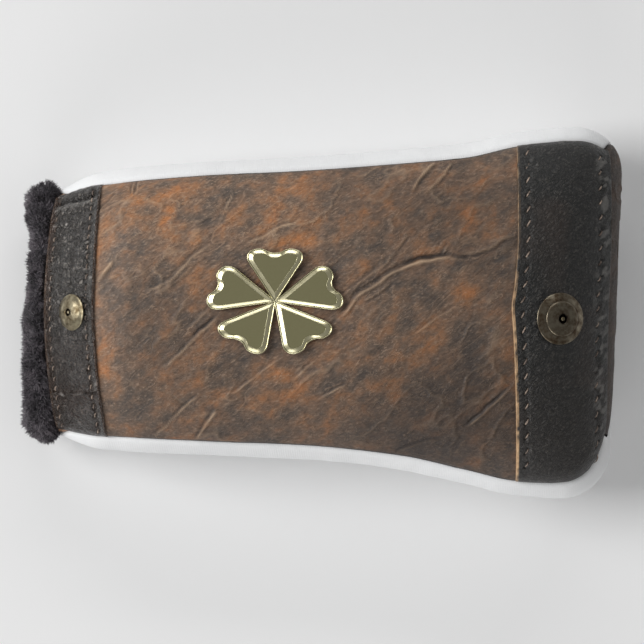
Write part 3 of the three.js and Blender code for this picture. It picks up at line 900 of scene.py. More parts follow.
def front_leather():
    """The brown panel with its creases, soft folds, puckered seams and darker patches, and painted
    shade towards the lower right, by the seams and at the toe end.
    """
    bm = pouch(LEATHER_CELL, hidden=[(-86, -77), (68, 90)])
    seam = table_of(front_seam)
    cut(bm, lambda x: seam(x) + SEAM_GAP, 1, (0, 0.3, 0.65, 1.1, 1.7, 2.4))
    p, normal, faces = arrays(bm)
    distance = p[:, 2] - front_seam(p[:, 0])
    height = turbulence(turned(p, GRAIN, 3.2), 4.5, 3, 21) * 0.16 + noise(p, 21, 30) * 0.35
    folds = turbulence(turned(p, 44, 2.4), 9, 3, 41)
    folded = smooth(noise(p, 17, 44), -0.1, 0.4)
    height += 0.3 * bump_at(folds, 0.09) * folded
    # the fold crests paler: partly scuffing and partly a painted highlight
    pale = 0.28 * bump_at(folds, 0.05) * folded
    dark = np.zeros(len(p))
    for x, y, radius, strength in DARK_ZONES:
        dark += strength * np.exp(-((p[:, 0] - x) ** 2 + (p[:, 1] - y) ** 2) / radius**2)
    for crease in CREASES:
        add_crease(p, height, pale, dark, crease)
    away = smooth(distance, 0.3, 3.0)
    pucker = 0.12 * noise(p * np.array([1, 1, 0.2]), 3.2, 50) * (1 - smooth(distance, 2, 7))
    rim = smooth(p[:, 0], RIM, RIM + 1.5)
    height = (height + pucker) * away - seam_roll(distance, 2.0, 1.5) - 0.9 * (1 - rim)
    # painted shade at the toe end, which turns away from the light, and no painted highlights there
    toe_end = smooth(p[:, 0], 90, 94)
    pale = pale * (1 - toe_end)
    # painted shade: darker towards the lower right, as the light falls off, and where the leather
    # rolls into the seam
    shade = smooth(0.75 * p[:, 0] - 0.9 * p[:, 1], -75, 85)
    dark += 0.8 * (1 - smooth(distance, 0.0, 1.4)) + 0.75 * toe_end + 0.75 * shade - 0.12
    soft_skin("front_leather", p, normal, height, faces, BROWN, "front_panel",
              {"pale": pale, "dark": dark})


def gusset_skin():
    """The white band between the front's seam and the back's."""
    bm = pouch(NEOPRENE_CELL)
    seam = table_of(front_seam)
    cut(bm, lambda x: seam(x) - SEAM_GAP, -1)
    cut(bm, lambda x: BACK_SEAM + SEAM_GAP, 1)
    p, normal, faces = arrays(bm)
    distance = np.minimum(front_seam(p[:, 0]) - p[:, 2], p[:, 2] - BACK_SEAM)
    height = 0.25 * noise(p, 17, 60) + 0.1 * noise(p * np.array([1, 1, 0.3]), 4.5, 61)
    height = height * smooth(distance, 0.3, 4) - seam_roll(distance, 1.7, 1.4)
    soft_skin("gusset_neoprene", p, normal, height, faces, WHITE, "gusset")


def back_skin():
    """The white panel that the cover lies on."""
    bm = pouch(NEOPRENE_CELL)
    cut(bm, lambda x: BACK_SEAM - SEAM_GAP, -1)
    p, normal, faces = arrays(bm)
    distance = BACK_SEAM - p[:, 2]
    height = 0.2 * noise(p, 19, 70) * smooth(p[:, 2], 0.4, 2)
    height = height * smooth(distance, 0.3, 4) - seam_roll(distance, 1.7, 1.4)
    soft_skin("back_neoprene", p, normal, height, faces, WHITE, "back_panel")


# ---------------------------------------------------------------- straps and stitches

def on_surface(edge, angle):
    """Points of the pouch at given angles whose x is edge(y), with their stations."""
    station = edge(0.0) + np.zeros_like(angle)
    for _ in range(10):
        at = surface(station, angle)
        station = station + edge(at[..., 1]) - at[..., 0]
    return surface(station, angle), station


def end_angle(edge, lift):
    """The angle at which a line across the front meets the front seam, at +Y."""
    angle = 0.3
    for _ in range(25):
        station = on_surface(edge, angle)[1]
        angle = float(seam_angle(station, lift))
    return angle


def strap(name, node, outer_edge, inner_edge, material, rows, relief, raw, worn):
    """A leather strap from seam to seam, with cut edges, stitch channels and awl holes.

    relief gives heights, worn marks, and pale and dark places: painted highlights and painted shade
    on the mouth strap, pale streaks on the toe strap; raw gives the bare cut edges.
    """
    outer, inner = through(outer_edge), through(inner_edge)
    profile = [  # (share of the width, inset in mm, height in mm)
        (0, 0.0, -0.3), (0, -0.05, 0.5), (0, 0.0, STRAP_LIFT - 0.5),
        (0, 0.12, STRAP_LIFT - 0.12), (0, 0.3, STRAP_LIFT), (0, 0.7, STRAP_LIFT),
    ]
    inside = int(abs(inner(0.0) - outer(0.0)) / 0.32)
    shares = [(s, 0.0, STRAP_LIFT) for s in np.linspace(0, 1, inside)[3:-3]]
    profile = profile + shares + [(1, -inset, h) for _, inset, h in profile[::-1]]
    share, inset, lift = np.array(profile).T
    start = end_angle(lambda y: (outer(y) + inner(y)) / 2, 0.2)
    angle = np.linspace(start, math.pi - start, STRAP_STEPS)
    run = run_of(surface(0.0, angle))
    angle = np.interp(np.linspace(0, run[-1], STRAP_STEPS), run, angle)
    edge_turn = np.sign(inner(0.0) - outer(0.0))

    def line(y):
        return outer(y) * (1 - share) + inner(y) * share + inset * edge_turn

    p, station = on_surface(line, angle[:, None])
    top = (lift >= STRAP_LIFT - 1e-6)[None, :] * np.ones_like(station)
    bumps, marks, pale, dark = relief(p)
    height = lift[None, :] + bumps * top
    for row in rows:
        height = height - row.channel(p) * top
    distance = p[..., 2] - front_seam(p[..., 0])
    height = height * (0.35 + 0.65 * smooth(distance, 0.0, 3.5)) - seam_roll(distance, 2.2, 1.6)
    fields = {
        "raw": np.clip(raw(p, share[None, :], top), 0, 1),
        "worn": worn(p) + marks,
        "pale": pale * top,
        # painted shade where the strap rolls down into the seam
        "dark": np.clip(dark * top + 0.6 * (1 - smooth(distance, 0.0, 1.2)), 0, 1),
    }
    points = p + normals(station, angle[:, None]) * height[..., None]
    faces = grid_faces(len(angle), len(share))
    make_mesh(name, points, faces, material, [node], fields)


def mouth_relief(p):
    """Crumpled leather with one deep fold near its +Y end and a small one low down, with painted
    highlights on the folds' crests and along the inner edge, and painted shade in the deep fold and
    over the lower half.
    """
    outer, inner = through(MOUTH_STRAP_OUTER), through(MOUTH_STRAP_INNER)
    from_edges = np.minimum(p[..., 0] - outer(p[..., 1]), inner(p[..., 1]) - p[..., 0])
    inside = smooth(from_edges, 0.2, 2.6)
    pebbles = np.abs(noise(turned(p, 28, 1.5), 3.4, 110))
    pebbles += 0.6 * np.abs(noise(turned(p, -30, 1.5), 2.2, 111))
    pebbles += 0.35 * np.abs(noise(turned(p, 60, 1.2), 1.2, 112))
    coarse = turbulence(turned(p, 35, 2.2), 7.0, 2, 114)
    upper = smooth(p[..., 1], -25, 15)
    strength = (0.35 + 0.65 * upper) * inside
    height = (0.6 * pebbles + 0.4 * coarse - 0.25) * strength
    fold = p[..., 1] - 35.2 - 0.27 * (p[..., 0] + 86) + 0.6 * noise(p, 4, 119)
    crest = bump_at(fold + 1.4, 0.8) * inside
    cleft = bump_at(fold, 0.45)
    height += 0.55 * crest - 0.8 * cleft * inside
    low = p[..., 1] + 26.0 + 0.5 * noise(p, 3, 120)
    low_crest = bump_at(low + 0.6, 0.35)
    height += 0.2 * low_crest - 0.3 * bump_at(low, 0.35)
    worn = 0.6 * (1 - upper) * smooth(noise(p, 9, 118), -0.4, 0.6)
    broken = smooth(noise(p, 2.2, 121), -0.6, 0.5)
    # painted highlights on the fold crests
    pale = 0.22 * crest * upper + 0.25 * low_crest * broken
    to_inner = inner(p[..., 1]) - p[..., 0]
    # a painted highlight along the inner edge
    pale += 0.22 * bump_at(to_inner - 0.9, 0.35) * broken
    # painted shade over the lower half and in the deep fold's cleft
    shade = 0.35 * (1 - upper)
    return height, worn, pale, np.maximum(shade, 0.85 * cleft * (0.4 + 0.6 * broken))


def mouth_raw(p, share, top):
    """Bare brown leather along the mouth edge, and a thin pale line at both cut edges."""
    sides = (share < 0.5) * (1 - top) * 0.9 + (share > 0.5) * (1 - top) * 0.45
    ragged = 0.7 + 0.5 * noise(p, 1.5, 141)
    return sides + 0.5 * top * (1 - smooth(share, 0.014, 0.035)) * ragged


def mouth_worn(p):
    """Rubbed brown along the mouth edge and below the stud."""
    outer = through(MOUTH_STRAP_OUTER)
    edge = 1.3 * (1 - smooth(p[..., 0] - outer(p[..., 1]), 1.2, 2.4))
    return edge + 0.5 * smooth(-p[..., 1], 3, 14)


def toe_relief(p):
    """Fine, nearly flat leather that puckers along its outer stitch row."""
    fine = turbulence(turned(p, GRAIN, 3.0), 2.4, 3, 130) * 0.07 + noise(p, 16, 133) * 0.2
    outer = through(TOE_STRAP_OUTER)
    near = bump_at(p[..., 0] - outer(p[..., 1]) + 2.5, 2.6)
    pucker = turbulence(turned(p, 30, 3.2), 2.2, 2, 136) * 0.3 * near
    streak = turbulence(turned(p, 34, 3.6), 1.6, 2, 139)
    pale = 0.24 * near * smooth(streak, 0.05, 0.7)
    return fine + pucker, 0.25 * smooth(noise(p, 11, 138), 0.1, 0.8), pale, 0.0


def toe_raw(p, share, top):
    """A bright tan cut edge on the side of the panel, wider below the middle."""
    inner = share > 0.5
    wide = 0.1 + 0.9 * smooth(-p[..., 1], -22, 0)
    ragged = 0.5 + 0.8 * noise(p, 1.3, 140)
    side = inner * (1 - top) * (0.02 + 0.6 * wide + 0.4 * ragged)
    lip = inner * top * smooth(share, 0.978, 0.99) * wide * ragged
    return side + lip + (share < 0.5) * (1 - top) * 0.12


def toe_worn(p):
    """Slightly browner towards the -Y side."""
    return 0.1 * smooth(-p[..., 1], 5, 45)


class StitchRow:
    """A row of saddle stitches along a line x = edge(y) + inset, across the front."""

    def __init__(self, strap_name, side_name, edge, inset, pitch, length, radius, slant, sink):
        self.name = f"{strap_name}_stitches_{side_name}"
        self.node = f"{strap_name}_strap_stitch_{side_name}"
        self.sink = sink
        curve = through(edge)
        self.line = lambda y: curve(y) + inset
        self.radius = radius
        start = end_angle(self.line, 1.0)
        fine = np.linspace(start, math.pi - start, 2500)
        run = run_of(on_surface(self.line, fine)[0])
        count = int((run[-1] - 2) / pitch)
        index = np.arange(count)
        jitter = noise(index[:, None] * np.array([3.7, 0, 0]), 1.0, int(abs(inset) * 10) + 3)
        middle = 1.5 + pitch * (index + 0.5) + 0.25 * jitter
        self.ends = [
            self.at(np.interp(middle + side * length / 2, run, fine), -side * slant)
            for side in (-1, 1)
        ]

    def at(self, angle, shift):
        """Points of the pouch beside the line by `shift`, and their normals."""
        p, station = on_surface(lambda y: self.line(y) + shift, angle)
        return p, normals(station, angle)

    def channel(self, p):
        """Depth of the crimped channel and of the awl holes at points of the strap."""
        x = self.line(p[..., 1])
        depth = 0.14 * bump_at(p[..., 0] - x, 0.9)
        flat = p.reshape(-1, 3)
        holes = np.zeros(len(flat))
        near = np.flatnonzero(np.abs(flat[:, 0] - x.ravel()) < 2.2)
        for ends, _ in self.ends:
            for spot in ends:
                close = near[np.abs(flat[near, 1] - spot[1]) < 1.5]
                gap = np.linalg.norm(flat[close] - spot, axis=1)
                holes[close] = np.maximum(holes[close], 0.55 * bump_at(gap, 0.42))
        return depth + holes.reshape(depth.shape)

    def build(self):
        """The threads: each rises from one hole, lies on the strap and goes down the next."""
        (a, na), (b, nb) = self.ends
        steps, sides = 11, 8
        t = np.linspace(-0.08, 1.08, steps)[None, :, None]
        middle = a[:, None] * (1 - t) + b[:, None] * t
        n = na[:, None] * (1 - t) + nb[:, None] * t
        n = n / np.linalg.norm(n, axis=-1, keepdims=True)
        arch = 1 - np.abs(2 * t - 1) ** 3.2
        middle = middle + n * (STRAP_LIFT - self.sink + self.radius * 0.55 + arch * 0.42 - 0.42)
        lengthwise = (b - a)[:, None] * np.ones((1, steps, 1))
        lengthwise = lengthwise / np.linalg.norm(lengthwise, axis=-1, keepdims=True)
        across = np.cross(lengthwise, n)
        turn = np.linspace(0, 2 * math.pi, sides, endpoint=False)
        twist = 1 + 0.10 * np.cos(2 * turn[None, :] - np.linspace(0, 9, steps)[:, None])
        fat = self.radius * (0.72 + 0.28 * arch[..., 0])[..., None] * twist[None]
        ring = (
            middle[:, :, None]
            + across[:, :, None] * (fat * np.cos(turn))[..., None]
            + n[:, :, None] * (0.75 * fat * np.sin(turn))[..., None]
        )
        one = grid_faces(steps, sides, wrap_columns=True)
        first = np.arange(len(a)) * steps * sides
        faces = (one[None] + first[:, None, None]).reshape(-1, 4)
        make_mesh(self.name, ring, faces, THREAD, [self.node])


# ---------------------------------------------------------------- metal

def angle_at(station, y):
    middle, width = section(station, 0.0)[:2]
    return math.acos(power((y - middle) / width, FRONT_SQUARENESS / 2))


def station_at(x, y):
    """The station of the front's point at x and y."""
    station = x
    for _ in range(12):
        station += x - float(surface(station, angle_at(station, y))[0])
    return station


def seat(station, y):
    """(point, normal) on the front surface."""
    angle = angle_at(station, y)
    return surface(station, angle), normals(station, angle)


def lathe(name, node, profile, at, material, sides, recess, dent=0.0):
    """A turned brass part: profile points (radius, height) round the axis at = (point, normal)."""
    radius, height = np.array(profile, float).T
    point, axis = at
    side = np.cross(axis, [0, 1, 0])
    side /= np.linalg.norm(side)
    other = np.cross(axis, side)
    turn = np.linspace(0, 2 * math.pi, sides, endpoint=False)
    out = side * np.cos(turn)[:, None] + other * np.sin(turn)[:, None]
    p = point + out[:, None] * radius[None, :, None] + axis * height[None, :, None]
    p = p + axis * (dent * noise(p, 2.2, 80))[..., None]
    shade = np.ones((sides, 1)) * recess
    faces = grid_faces(sides, len(radius), wrap_rows=True)
    make_mesh(name, p, faces, material, [node], {"recess": shade})


def rounded(points, steps=5):
    """A profile with its corners rounded, by taking the curve through the segments' middles."""
    points = np.array(points, float)
    out = [points[0]]
    for a, b, c in zip(points[:-2], points[1:-1], points[2:]):
        start, end = b + (a - b) * 0.45, b + (c - b) * 0.45
        for t in np.linspace(0, 1, steps):
            out.append(start * (1 - t) ** 2 + b * 2 * t * (1 - t) + end * t * t)
    out.append(points[-1])
    return np.array(out)


def concho(name, station, y, radius, height, lean, stepped, metal):
    """A domed disc with a well round its middle, dark with patina and painted shade, and the rivet's
    head in the well.

    It leans towards +X by `lean`, and a stepped disc has a groove round its inner dome.
    """
    point, axis = seat(station, y)
    axis = axis + np.array([lean, 0, 0])
    at = (point, axis / np.linalg.norm(axis))
    foot = STRAP_LIFT - 0.35
    top = foot + height
    low = top - 0.42 * height
    nub = radius * (0.1 if stepped else 0.13)
    outside = [
        (0.6, foot), (radius - 0.3, foot), (radius, foot + 0.3), (radius - 0.1, foot + 0.6),
    ]
    dome = [
        (radius * 0.9, foot + height * 0.36), (radius * 0.74, foot + height * 0.66),
        (radius * 0.56, foot + height * 0.85), (radius * 0.38, top - 0.12), (radius * 0.28, top),
    ]
    if stepped:
        dome = [
            (radius * 0.9, foot + height * 0.34), (radius * 0.72, foot + height * 0.62),
            (radius * 0.68, foot + height * 0.64), (radius * 0.65, foot + height * 0.76),
            (radius * 0.5, top - 0.25), (radius * 0.28, top),
        ]
    well = [
        (radius * 0.19, top - 0.12), (radius * 0.155, top - 0.6), (radius * 0.15, low),
        (0.2, low),
    ]
    profile = rounded(outside + dome + well)
    # recess: patina and painted shade in the well, painted shade in the groove and round the foot
    recess = smooth(radius * 0.24 - profile[:, 0], 0, radius * 0.07)
    if stepped:
        groove = bump_at(profile[:, 0] - radius * 0.68, radius * 0.03)
        recess = np.clip(recess + 0.2 * groove, 0, 1)
    recess[profile[:, 1] < foot + 0.5] = 0.7
    lathe(f"{name}_concho_disc", f"{name}_concho", profile, at, metal, 96, recess, 0.05)
    stud = rounded([
        (nub * 0.85, low - 0.3), (nub * 0.9, top - 0.5), (nub * 0.6, top - 0.12), (0, top),
    ])
    # painted shade on the stud's sides, down in the well
    stud_shade = 0.35 * smooth(stud[:, 0], nub * 0.5, nub * 0.8)
    lathe(f"{name}_rivet_head", f"{name}_rivet", stud, at, BRASS, 40, stud_shade)


def petal_outline(shrink, steps=16):
    """A heart-shaped petal pointing along +Y, its outline moved inwards by `shrink`."""
    tip = 2 * shrink - 0.8
    side, top, notch = PETAL_SIDE - shrink, PETAL_TOP - shrink, PETAL_NOTCH - shrink

    def bezier(a, b, c, d):
        t = np.linspace(0, 1, steps, endpoint=False)[:, None]
        a, b, c, d = (np.array(v, float) for v in (a, b, c, d))
        return a * (1 - t) ** 3 + 3 * b * t * (1 - t) ** 2 + 3 * c * t * t * (1 - t) + d * t**3

    start, end = np.array([0, tip]), np.array([side - 0.7, PETAL_SHOULDER])
    straight = start + (end - start) * np.linspace(0, 1, steps * 3, endpoint=False)[:, None]
    peak = 4.9 - 0.35 * shrink
    lobe = bezier(end, (side + 1.0, 18.8), (side - 0.5, top + 0.1), (peak, top))
    dip = bezier((peak, top), (peak - 2.0, top), (2.6, notch), (0, notch))
    right = np.concatenate([straight, lobe, dip, [[0, notch]]])
    left = right[-2:0:-1] * [-1, 1]
    return np.concatenate([right, left])


def petal_rings(levels, petal, base):
    """Nested outlines of one petal at levels (shrink, height), turned to its place."""
    turn = -2 * math.pi * petal / PETALS
    c, s = math.cos(turn), math.sin(turn)
    rings = []
    for shrink, height in levels:
        outline = petal_outline(shrink)
        x = outline[:, 0] * c - outline[:, 1] * s
        y = (outline[:, 0] * s + outline[:, 1] * c) * BADGE_SQUASH
        rings.append(np.column_stack([x + BADGE_X, y + BADGE_Y, np.full(len(x), base + height)]))
    return np.array(rings)


def badge():
    """The polished rims of the petals as one piece, and a flat enamel inlay in each."""
    base = float(surface(station_at(BADGE_X, BADGE_Y), math.pi / 2 - 0.05)[2]) + BADGE_FOOT
    # recess paints shade on the rim's foot, in its groove and at its inner edge beside the enamel
    rim = [  # (shrink, height, recess)
        (0.30, -0.4, 1.0), (0.05, 0.0, 1.0), (0.0, 0.7, 0.9), (0.02, 0.9, 0.7),
        (0.08, 1.05, 0.3), (0.20, 1.2, 0.0), (0.34, 1.27, 0.0), (0.48, 1.24, 0.0),
        (0.58, 1.14, 0.8), (0.65, 1.10, 0.9), (0.71, 1.11, 0.5), (0.78, 1.15, 0.0),
        (0.98, 1.24, 0.0), (1.20, 1.34, 0.0), (1.42, 1.44, 0.0), (1.64, 1.54, 0.0),
        (1.86, 1.63, 0.0), (2.04, 1.69, 0.0), (2.14, 1.71, 0.1), (2.20, 1.68, 0.3),
        (2.26, 1.4, 0.8),
    ]
    levels = [(shrink, height) for shrink, height, _ in rim]
    rings = np.array([petal_rings(levels, petal, base) for petal in range(PETALS)])
    count = rings.shape[2]
    one = grid_faces(len(rim), count, wrap_columns=True)
    faces = [one + petal * len(rim) * count for petal in range(PETALS)]
    recess = np.repeat([r for _, _, r in rim], count)
    make_mesh("badge_rim", rings, np.concatenate(faces), GOLD, ["badge_frame"],
              {"recess": np.tile(recess, PETALS)})
    levels = [(2.18, 1.2), (2.18, 1.58), (2.24, 1.64), (2.32, 1.66), (2.5, 1.66)]
    for petal in range(PETALS):
        rings = petal_rings(levels, petal, base)
        count = rings.shape[1]
        points = np.concatenate([rings.reshape(-1, 3), rings[-1].mean(0, keepdims=True)])
        last = (len(levels) - 1) * count + np.arange(count)
        fan = np.column_stack([last, np.roll(last, -1), np.full(count, len(points) - 1)])
        faces = grid_faces(len(levels), count, wrap_columns=True).tolist() + fan.tolist()
        mesh = bpy.data.meshes.new(f"badge_enamel_{petal + 1}")
        mesh.from_pydata((points * MM).tolist(), [], faces)
        mesh.polygons.foreach_set("use_smooth", np.ones(len(faces), bool))
        piece = bpy.data.objects.new(mesh.name, mesh)
        place(piece, ENAMEL, [f"badge_inlay_{petal + 1}"])


# ---------------------------------------------------------------- fur cuff

def cuff_rings():
    """The cuff's roll: from inside the opening, over the lip, to under the rim."""
    angles = np.linspace(0, 2 * math.pi, 361)[:-1]
    set_back = through(CUFF_SET_BACK)

    def ring(x, width, height, bow=0.0):
        across = power(np.cos(angles), 2 / FRONT_SQUARENESS)
        rise = power(np.sin(angles), 2 / FRONT_SQUARENESS)
        y = width * across
        x = x - bow * (1 - across**2) + set_back(y) * smooth(-x, 88, 97)
        return np.stack([x, y, CUFF_MID + height * rise], -1)

    rows = [  # (x, half width, half height, bow)
        (-73, 31, 6.4, RIM_BOW), (-84, 30, 5.8, RIM_BOW), (-92, 30.4, 6.0, 2), (-97, 31.5, 6.4, 0),
        (-99.2, 34, 8.0, 0), (-99.9, 37.2, 10.2, 0), (-98.9, 40.2, 12.6, 0), (-96, 41.9, 14.1, 0.6),
        (-92.5, 42.2, 14.6, 2.2), (-89.5, 41.6, 14.3, 3.4), (-87.6, 39.4, 13.0, RIM_BOW),
        (-85, 37, 11.5, RIM_BOW),
    ]
    keys = np.array([ring(*row) for row in rows])
    fine = []
    for t in np.linspace(0, len(rows) - 1, 90):
        i = min(int(t), len(rows) - 2)
        u = t - i
        before, after = keys[max(i - 1, 0)], keys[min(i + 2, len(rows) - 1)]
        a, b = keys[i], keys[i + 1]
        fine.append(0.5 * (2 * a + (b - before) * u + (2 * before - 5 * a + 4 * b - after) * u * u
                           + (3 * a - before - 3 * b + after) * u**3))
    return np.array(fine)


def fur():
    """A lumpy pile backing, covered in short tapered strands that lean together in tufts."""
    p = cuff_rings()
    du = np.gradient(p, axis=0)
    dv = np.roll(p, -1, axis=1) - np.roll(p, 1, axis=1)
    n = np.cross(dv, du)
    n /= np.maximum(np.linalg.norm(n, axis=-1, keepdims=True), 1e-9)
    if np.sum(n[45] * (p[45] - p[20].mean(0))) < 0:
        n = -n
    lumps = 0.9 * noise(p, 7, 90) + 0.5 * noise(p, 3.2, 91)
    corner = smooth(np.abs(p[..., 1]), 26, 40) * smooth(-p[..., 0], 86, 92)
    lift = lumps + 0.5 * corner - 0.6
    body = p + n * lift[..., None]
    body[..., 2] = np.maximum(body[..., 2], 0.2)
    faces = grid_faces(len(p), p.shape[1], wrap_columns=True)
    make_mesh("fur_backing", body, faces, PILE, ["fur_cuff"])
    rng = np.random.default_rng(7)
    weights = np.linalg.norm(np.cross(dv, du), axis=-1)
    weights[:18] *= 0.25
    weights = weights.ravel() / weights.sum()
    spot = rng.choice(len(weights), STRAND_COUNT, p=weights)
    row, column = np.divmod(spot, p.shape[1])
    jitter = rng.uniform(-0.5, 0.5, (STRAND_COUNT, 2))
    root = body[row, column] + du[row, column] * jitter[:, :1] + dv[row, column] * jitter[:, 1:] / 2
    lean = 0.75 * np.stack([noise(root, 2.4, 95 + k) for k in range(3)], -1)
    lean += 0.55 * np.stack([noise(root, 0.9, 98 + k) for k in range(3)], -1)
    way = n[row, column] + lean + rng.normal(0, 0.22, (STRAND_COUNT, 3))
    way /= np.linalg.norm(way, axis=1, keepdims=True)
    outside = smooth(row.astype(float), 16, 40)
    length = 1.7 + 0.9 * noise(root, 2.6, 93) + rng.uniform(-0.3, 0.7, STRAND_COUNT)
    length = length * (0.5 + 0.5 * outside)
    curl = np.cross(way, rng.normal(0, 1, (STRAND_COUNT, 3)))
    curl /= np.linalg.norm(curl, axis=1, keepdims=True)
    side = np.cross(way, curl)

    def along_strand(share):
        return root + way * (length * share)[:, None] + curl * (0.35 * length * share**2)[:, None]

    corners = [(math.cos(a), math.sin(a)) for a in (0, 2 * math.pi / 3, 4 * math.pi / 3)]
    rings = [
        along_strand(share) + radius * (c * curl + s * side)
        for share, radius in [(-0.15, 0.15), (0.35, 0.13), (0.75, 0.085)]
        for c, s in corners
    ]
    strand = np.stack(rings + [along_strand(1)], 1)
    strand[..., 2] = np.maximum(strand[..., 2], 0.1)
    one = []
    for a, b in [(0, 1), (1, 2), (2, 0), (3, 4), (4, 5), (5, 3)]:
        one += [(a, b, b + 3), (a, b + 3, a + 3)]
    one = np.array(one + [(6, 7, 9), (7, 8, 9), (8, 6, 9)])
    tone = noise(root, 2.2, 97) + rng.uniform(-0.7, 0.7, STRAND_COUNT)
    shades = np.digitize(tone, [-0.5, 0.05, 0.6])
    for shade, material in enumerate(FUR):
        chosen = strand[shades == shade]
        faces = one[None] + (np.arange(len(chosen)) * 10)[:, None, None]
        make_mesh(f"fur_pile_{shade + 1}", chosen, faces.reshape(-1, 3), material)


# ---------------------------------------------------------------- inner layers

def shell(name, node, depths, seam, keep, start, material, relief=0.25):
    """An inner layer of the pouch between two depths, closed at its edges, on one side of a seam."""
    angles, half = ring_angles(LINING_CELL)
    stations = ring_stations(LINING_CELL, start)
    columns = len(angles)
    layers = [surface(stations[:, None], angles, depth).reshape(-1, 3) for depth in depths]
    faces = tube_faces(len(stations), columns, half)
    count = len(layers[0])
    rim = np.arange(columns)
    following = np.roll(rim, -1)
    around = np.column_stack([rim, following, count + following, count + rim])
    every = np.concatenate([faces, faces[:, ::-1] + count, around[:, ::-1]])
    bm = bmesh_of(np.concatenate(layers), every)
    cut(bm, seam, keep, bands=(0,), fill=True)
    p, normal, faces = arrays(bm)
    height = relief * noise(p, 3.0, 33) * 0.5
    soft_skin(name, p, normal, height, faces, material, node)


def elastic():
    """The flat elastic in the neck, ribbed and gathered a little."""
    angles = ring_angles(ELASTIC_CELL)[0]
    outside, inside = 3.95, 5.15
    corners = [(x, outside) for x in (-86, -84, -82)] + [(x, inside) for x in (-82, -84, -86)]
    gather = 0.18 * np.sin(np.arange(len(angles)) * 1.3)[:, None]
    rings = [
        surface(station, angles, depth) + normals(station, angles, depth) * gather
        for station, depth in corners
    ]
    faces = grid_faces(len(rings), len(angles), wrap_rows=True, wrap_columns=True)
    make_mesh("elastic_band", rings, faces, ELASTIC, ["mouth_elastic"])


# ---------------------------------------------------------------- stage and camera

def stage():
    """A plain pale floor, a large soft light from -X, a strip from +Y and a weaker fill."""
    mesh = bpy.data.meshes.new("floor")
    mesh.from_pydata([(-4, -4, 0), (4, -4, 0), (4, 4, 0), (-4, 4, 0)], [], [(0, 1, 2, 3)])
    floor = bpy.data.objects.new("floor", mesh)
    bpy.context.scene.collection.objects.link(floor)
    n = Nodes("floor")
    floor.data.materials.append(n.finish(Base_Color=srgb(243, 243, 243), Roughness=0.95))

    lights = [  # (name, place in m, size in m, power in W)
        ("key", (-2.6, 0.55, 2.1), (2.0, 2.0), 88.0),
        ("top_strip", (0.1, 2.4, 1.45), (2.4, 0.4), 16.0),
        ("fill", (-0.6, -2.6, 1.1), (2.2, 1.2), 24.0),
    ]
    for name, spot, size, watts in lights:
        light = bpy.data.lights.new(name, "AREA")
        light.shape = "RECTANGLE"
        light.size, light.size_y = size
        light.energy = watts
        lamp = bpy.data.objects.new(name, light)
        lamp.location = spot
        direction = Vector((0, 0, 0.02)) - Vector(spot)
        lamp.rotation_euler = direction.to_track_quat("-Z", "Y").to_euler()
        bpy.context.scene.collection.objects.link(lamp)

    world = bpy.data.worlds.new("studio")
    world.use_nodes = True
    background = world.node_tree.nodes["Background"]
    background.inputs["Color"].default_value = (1, 1, 1, 1)
    background.inputs["Strength"].default_value = 0.22
    bpy.context.scene.world = world
    bpy.context.scene.view_settings.view_transform = "Standard"


def camera():
    """Straight above the front panel, from far enough for nearly parallel lines."""
    lens = bpy.data.cameras.new("camera")
    lens.sensor_width = 36.0
    distance = 1.5
    seen = 0.21467  # width in m of what is seen there
    lens.lens = lens.sensor_width * distance / seen
    lens.clip_end = 20
    eye = bpy.data.objects.new("camera", lens)
    eye.location = (0.00083, -0.003, distance + 0.024)  # over a point 24 mm up
    bpy.context.scene.collection.objects.link(eye)
    bpy.context.scene.camera = eye


# ---------------------------------------------------------------- assembly

BROWN = brown_leather()
BLACK_MOUTH = black_leather(
    "black_leather_pebbled", pebble=1.7, depth=0.9, turn=25, black=srgb(59, 55, 52), glint=0.55,
    shine=1.25, edge_colors=(srgb(96, 76, 64), srgb(168, 138, 118)),
)
BLACK_TOE = black_leather(
    "black_leather_fine", pebble=0.9, depth=0.08, turn=GRAIN, black=srgb(24, 24, 23), glint=0.14,
    shine=0.2, edge_colors=(srgb(156, 116, 82), srgb(232, 196, 152)),
)
WHITE = neoprene()
FOAM = foam()
PLUSH = plush("lining_plush", srgb(44, 42, 47))
PILE = plush("cuff_backing", srgb(40, 37, 43))
FUR_TONES = [(50, 46, 50), (74, 69, 74), (96, 90, 96), (126, 119, 124)]
FUR = [
    plush(f"fur_shade_{i + 1}", srgb(*tone), patterned=False) for i, tone in enumerate(FUR_TONES)
]
ELASTIC = ribbed("black_elastic", srgb(24, 24, 26), srgb(52, 51, 54))
THREAD = thread()
BRASS = antique_brass("antique_brass", srgb(170, 160, 134), srgb(84, 72, 52))
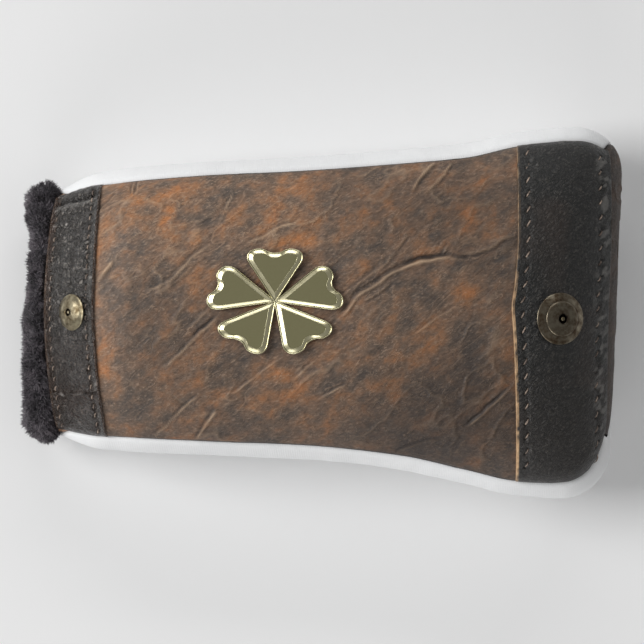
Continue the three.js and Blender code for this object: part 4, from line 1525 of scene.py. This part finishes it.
DARK_BRASS = antique_brass("antique_brass_dark", srgb(132, 124, 108), srgb(76, 62, 48))
GOLD = pale_gold()
ENAMEL = olive_enamel()

front_leather()
gusset_skin()
back_skin()

# strap, side, edge, and in mm: inset, pitch, length, radius, slant and how far it is pulled in
mouth_rows = [
    StitchRow("mouth", "outer", MOUTH_STRAP_OUTER, 2.2, 3.3, 1.5, 0.26, 0.15, 0.2),
    StitchRow("mouth", "inner", MOUTH_STRAP_INNER, -2.2, 3.3, 1.5, 0.26, 0.15, 0.2),
]
toe_rows = [
    StitchRow("toe", "inner", TOE_STRAP_INNER, 3.4, 5.0, 1.9, 0.25, 0.55, 0.25),
    StitchRow("toe", "outer", TOE_STRAP_OUTER, -3.7, 5.0, 1.8, 0.24, 0.45, 0.25),
]
strap("mouth_strap_leather", "mouth_strap", MOUTH_STRAP_OUTER, MOUTH_STRAP_INNER, BLACK_MOUTH,
      mouth_rows, mouth_relief, mouth_raw, mouth_worn)
strap("toe_strap_leather", "toe_strap", TOE_STRAP_OUTER, TOE_STRAP_INNER, BLACK_TOE,
      toe_rows, toe_relief, toe_raw, toe_worn)
for row in mouth_rows + toe_rows:
    row.build()
concho("mouth", -76.4, 0.2, radius=6.1, height=2.2, lean=-0.14, stepped=False, metal=BRASS)
concho("toe", 79.6, -1.9, radius=8.6, height=2.8, lean=0.06, stepped=True, metal=DARK_BRASS)
badge()
fur()

seam_table = table_of(front_seam)
shell("padding_foam", "front_padding", (1.6, 3.5), lambda x: seam_table(x) + 0.3, 1, RIM, FOAM,
      relief=0.1)
shell("lining_front", "front_lining", LINING_DEPTHS, lambda x: LINING_SEAM + LINING_GAP / 2, 1,
      LINING_START, PLUSH)
shell("lining_back", "back_lining", LINING_DEPTHS, lambda x: LINING_SEAM - LINING_GAP / 2, -1,
      LINING_START, PLUSH)
elastic()
for node in ("mouth_rivet_burr", "toe_rivet_burr", "badge_clutch_1", "badge_clutch_2"):
    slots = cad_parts[node].data.materials
    slots.clear()
    slots.append(BRASS)

stage()
camera()
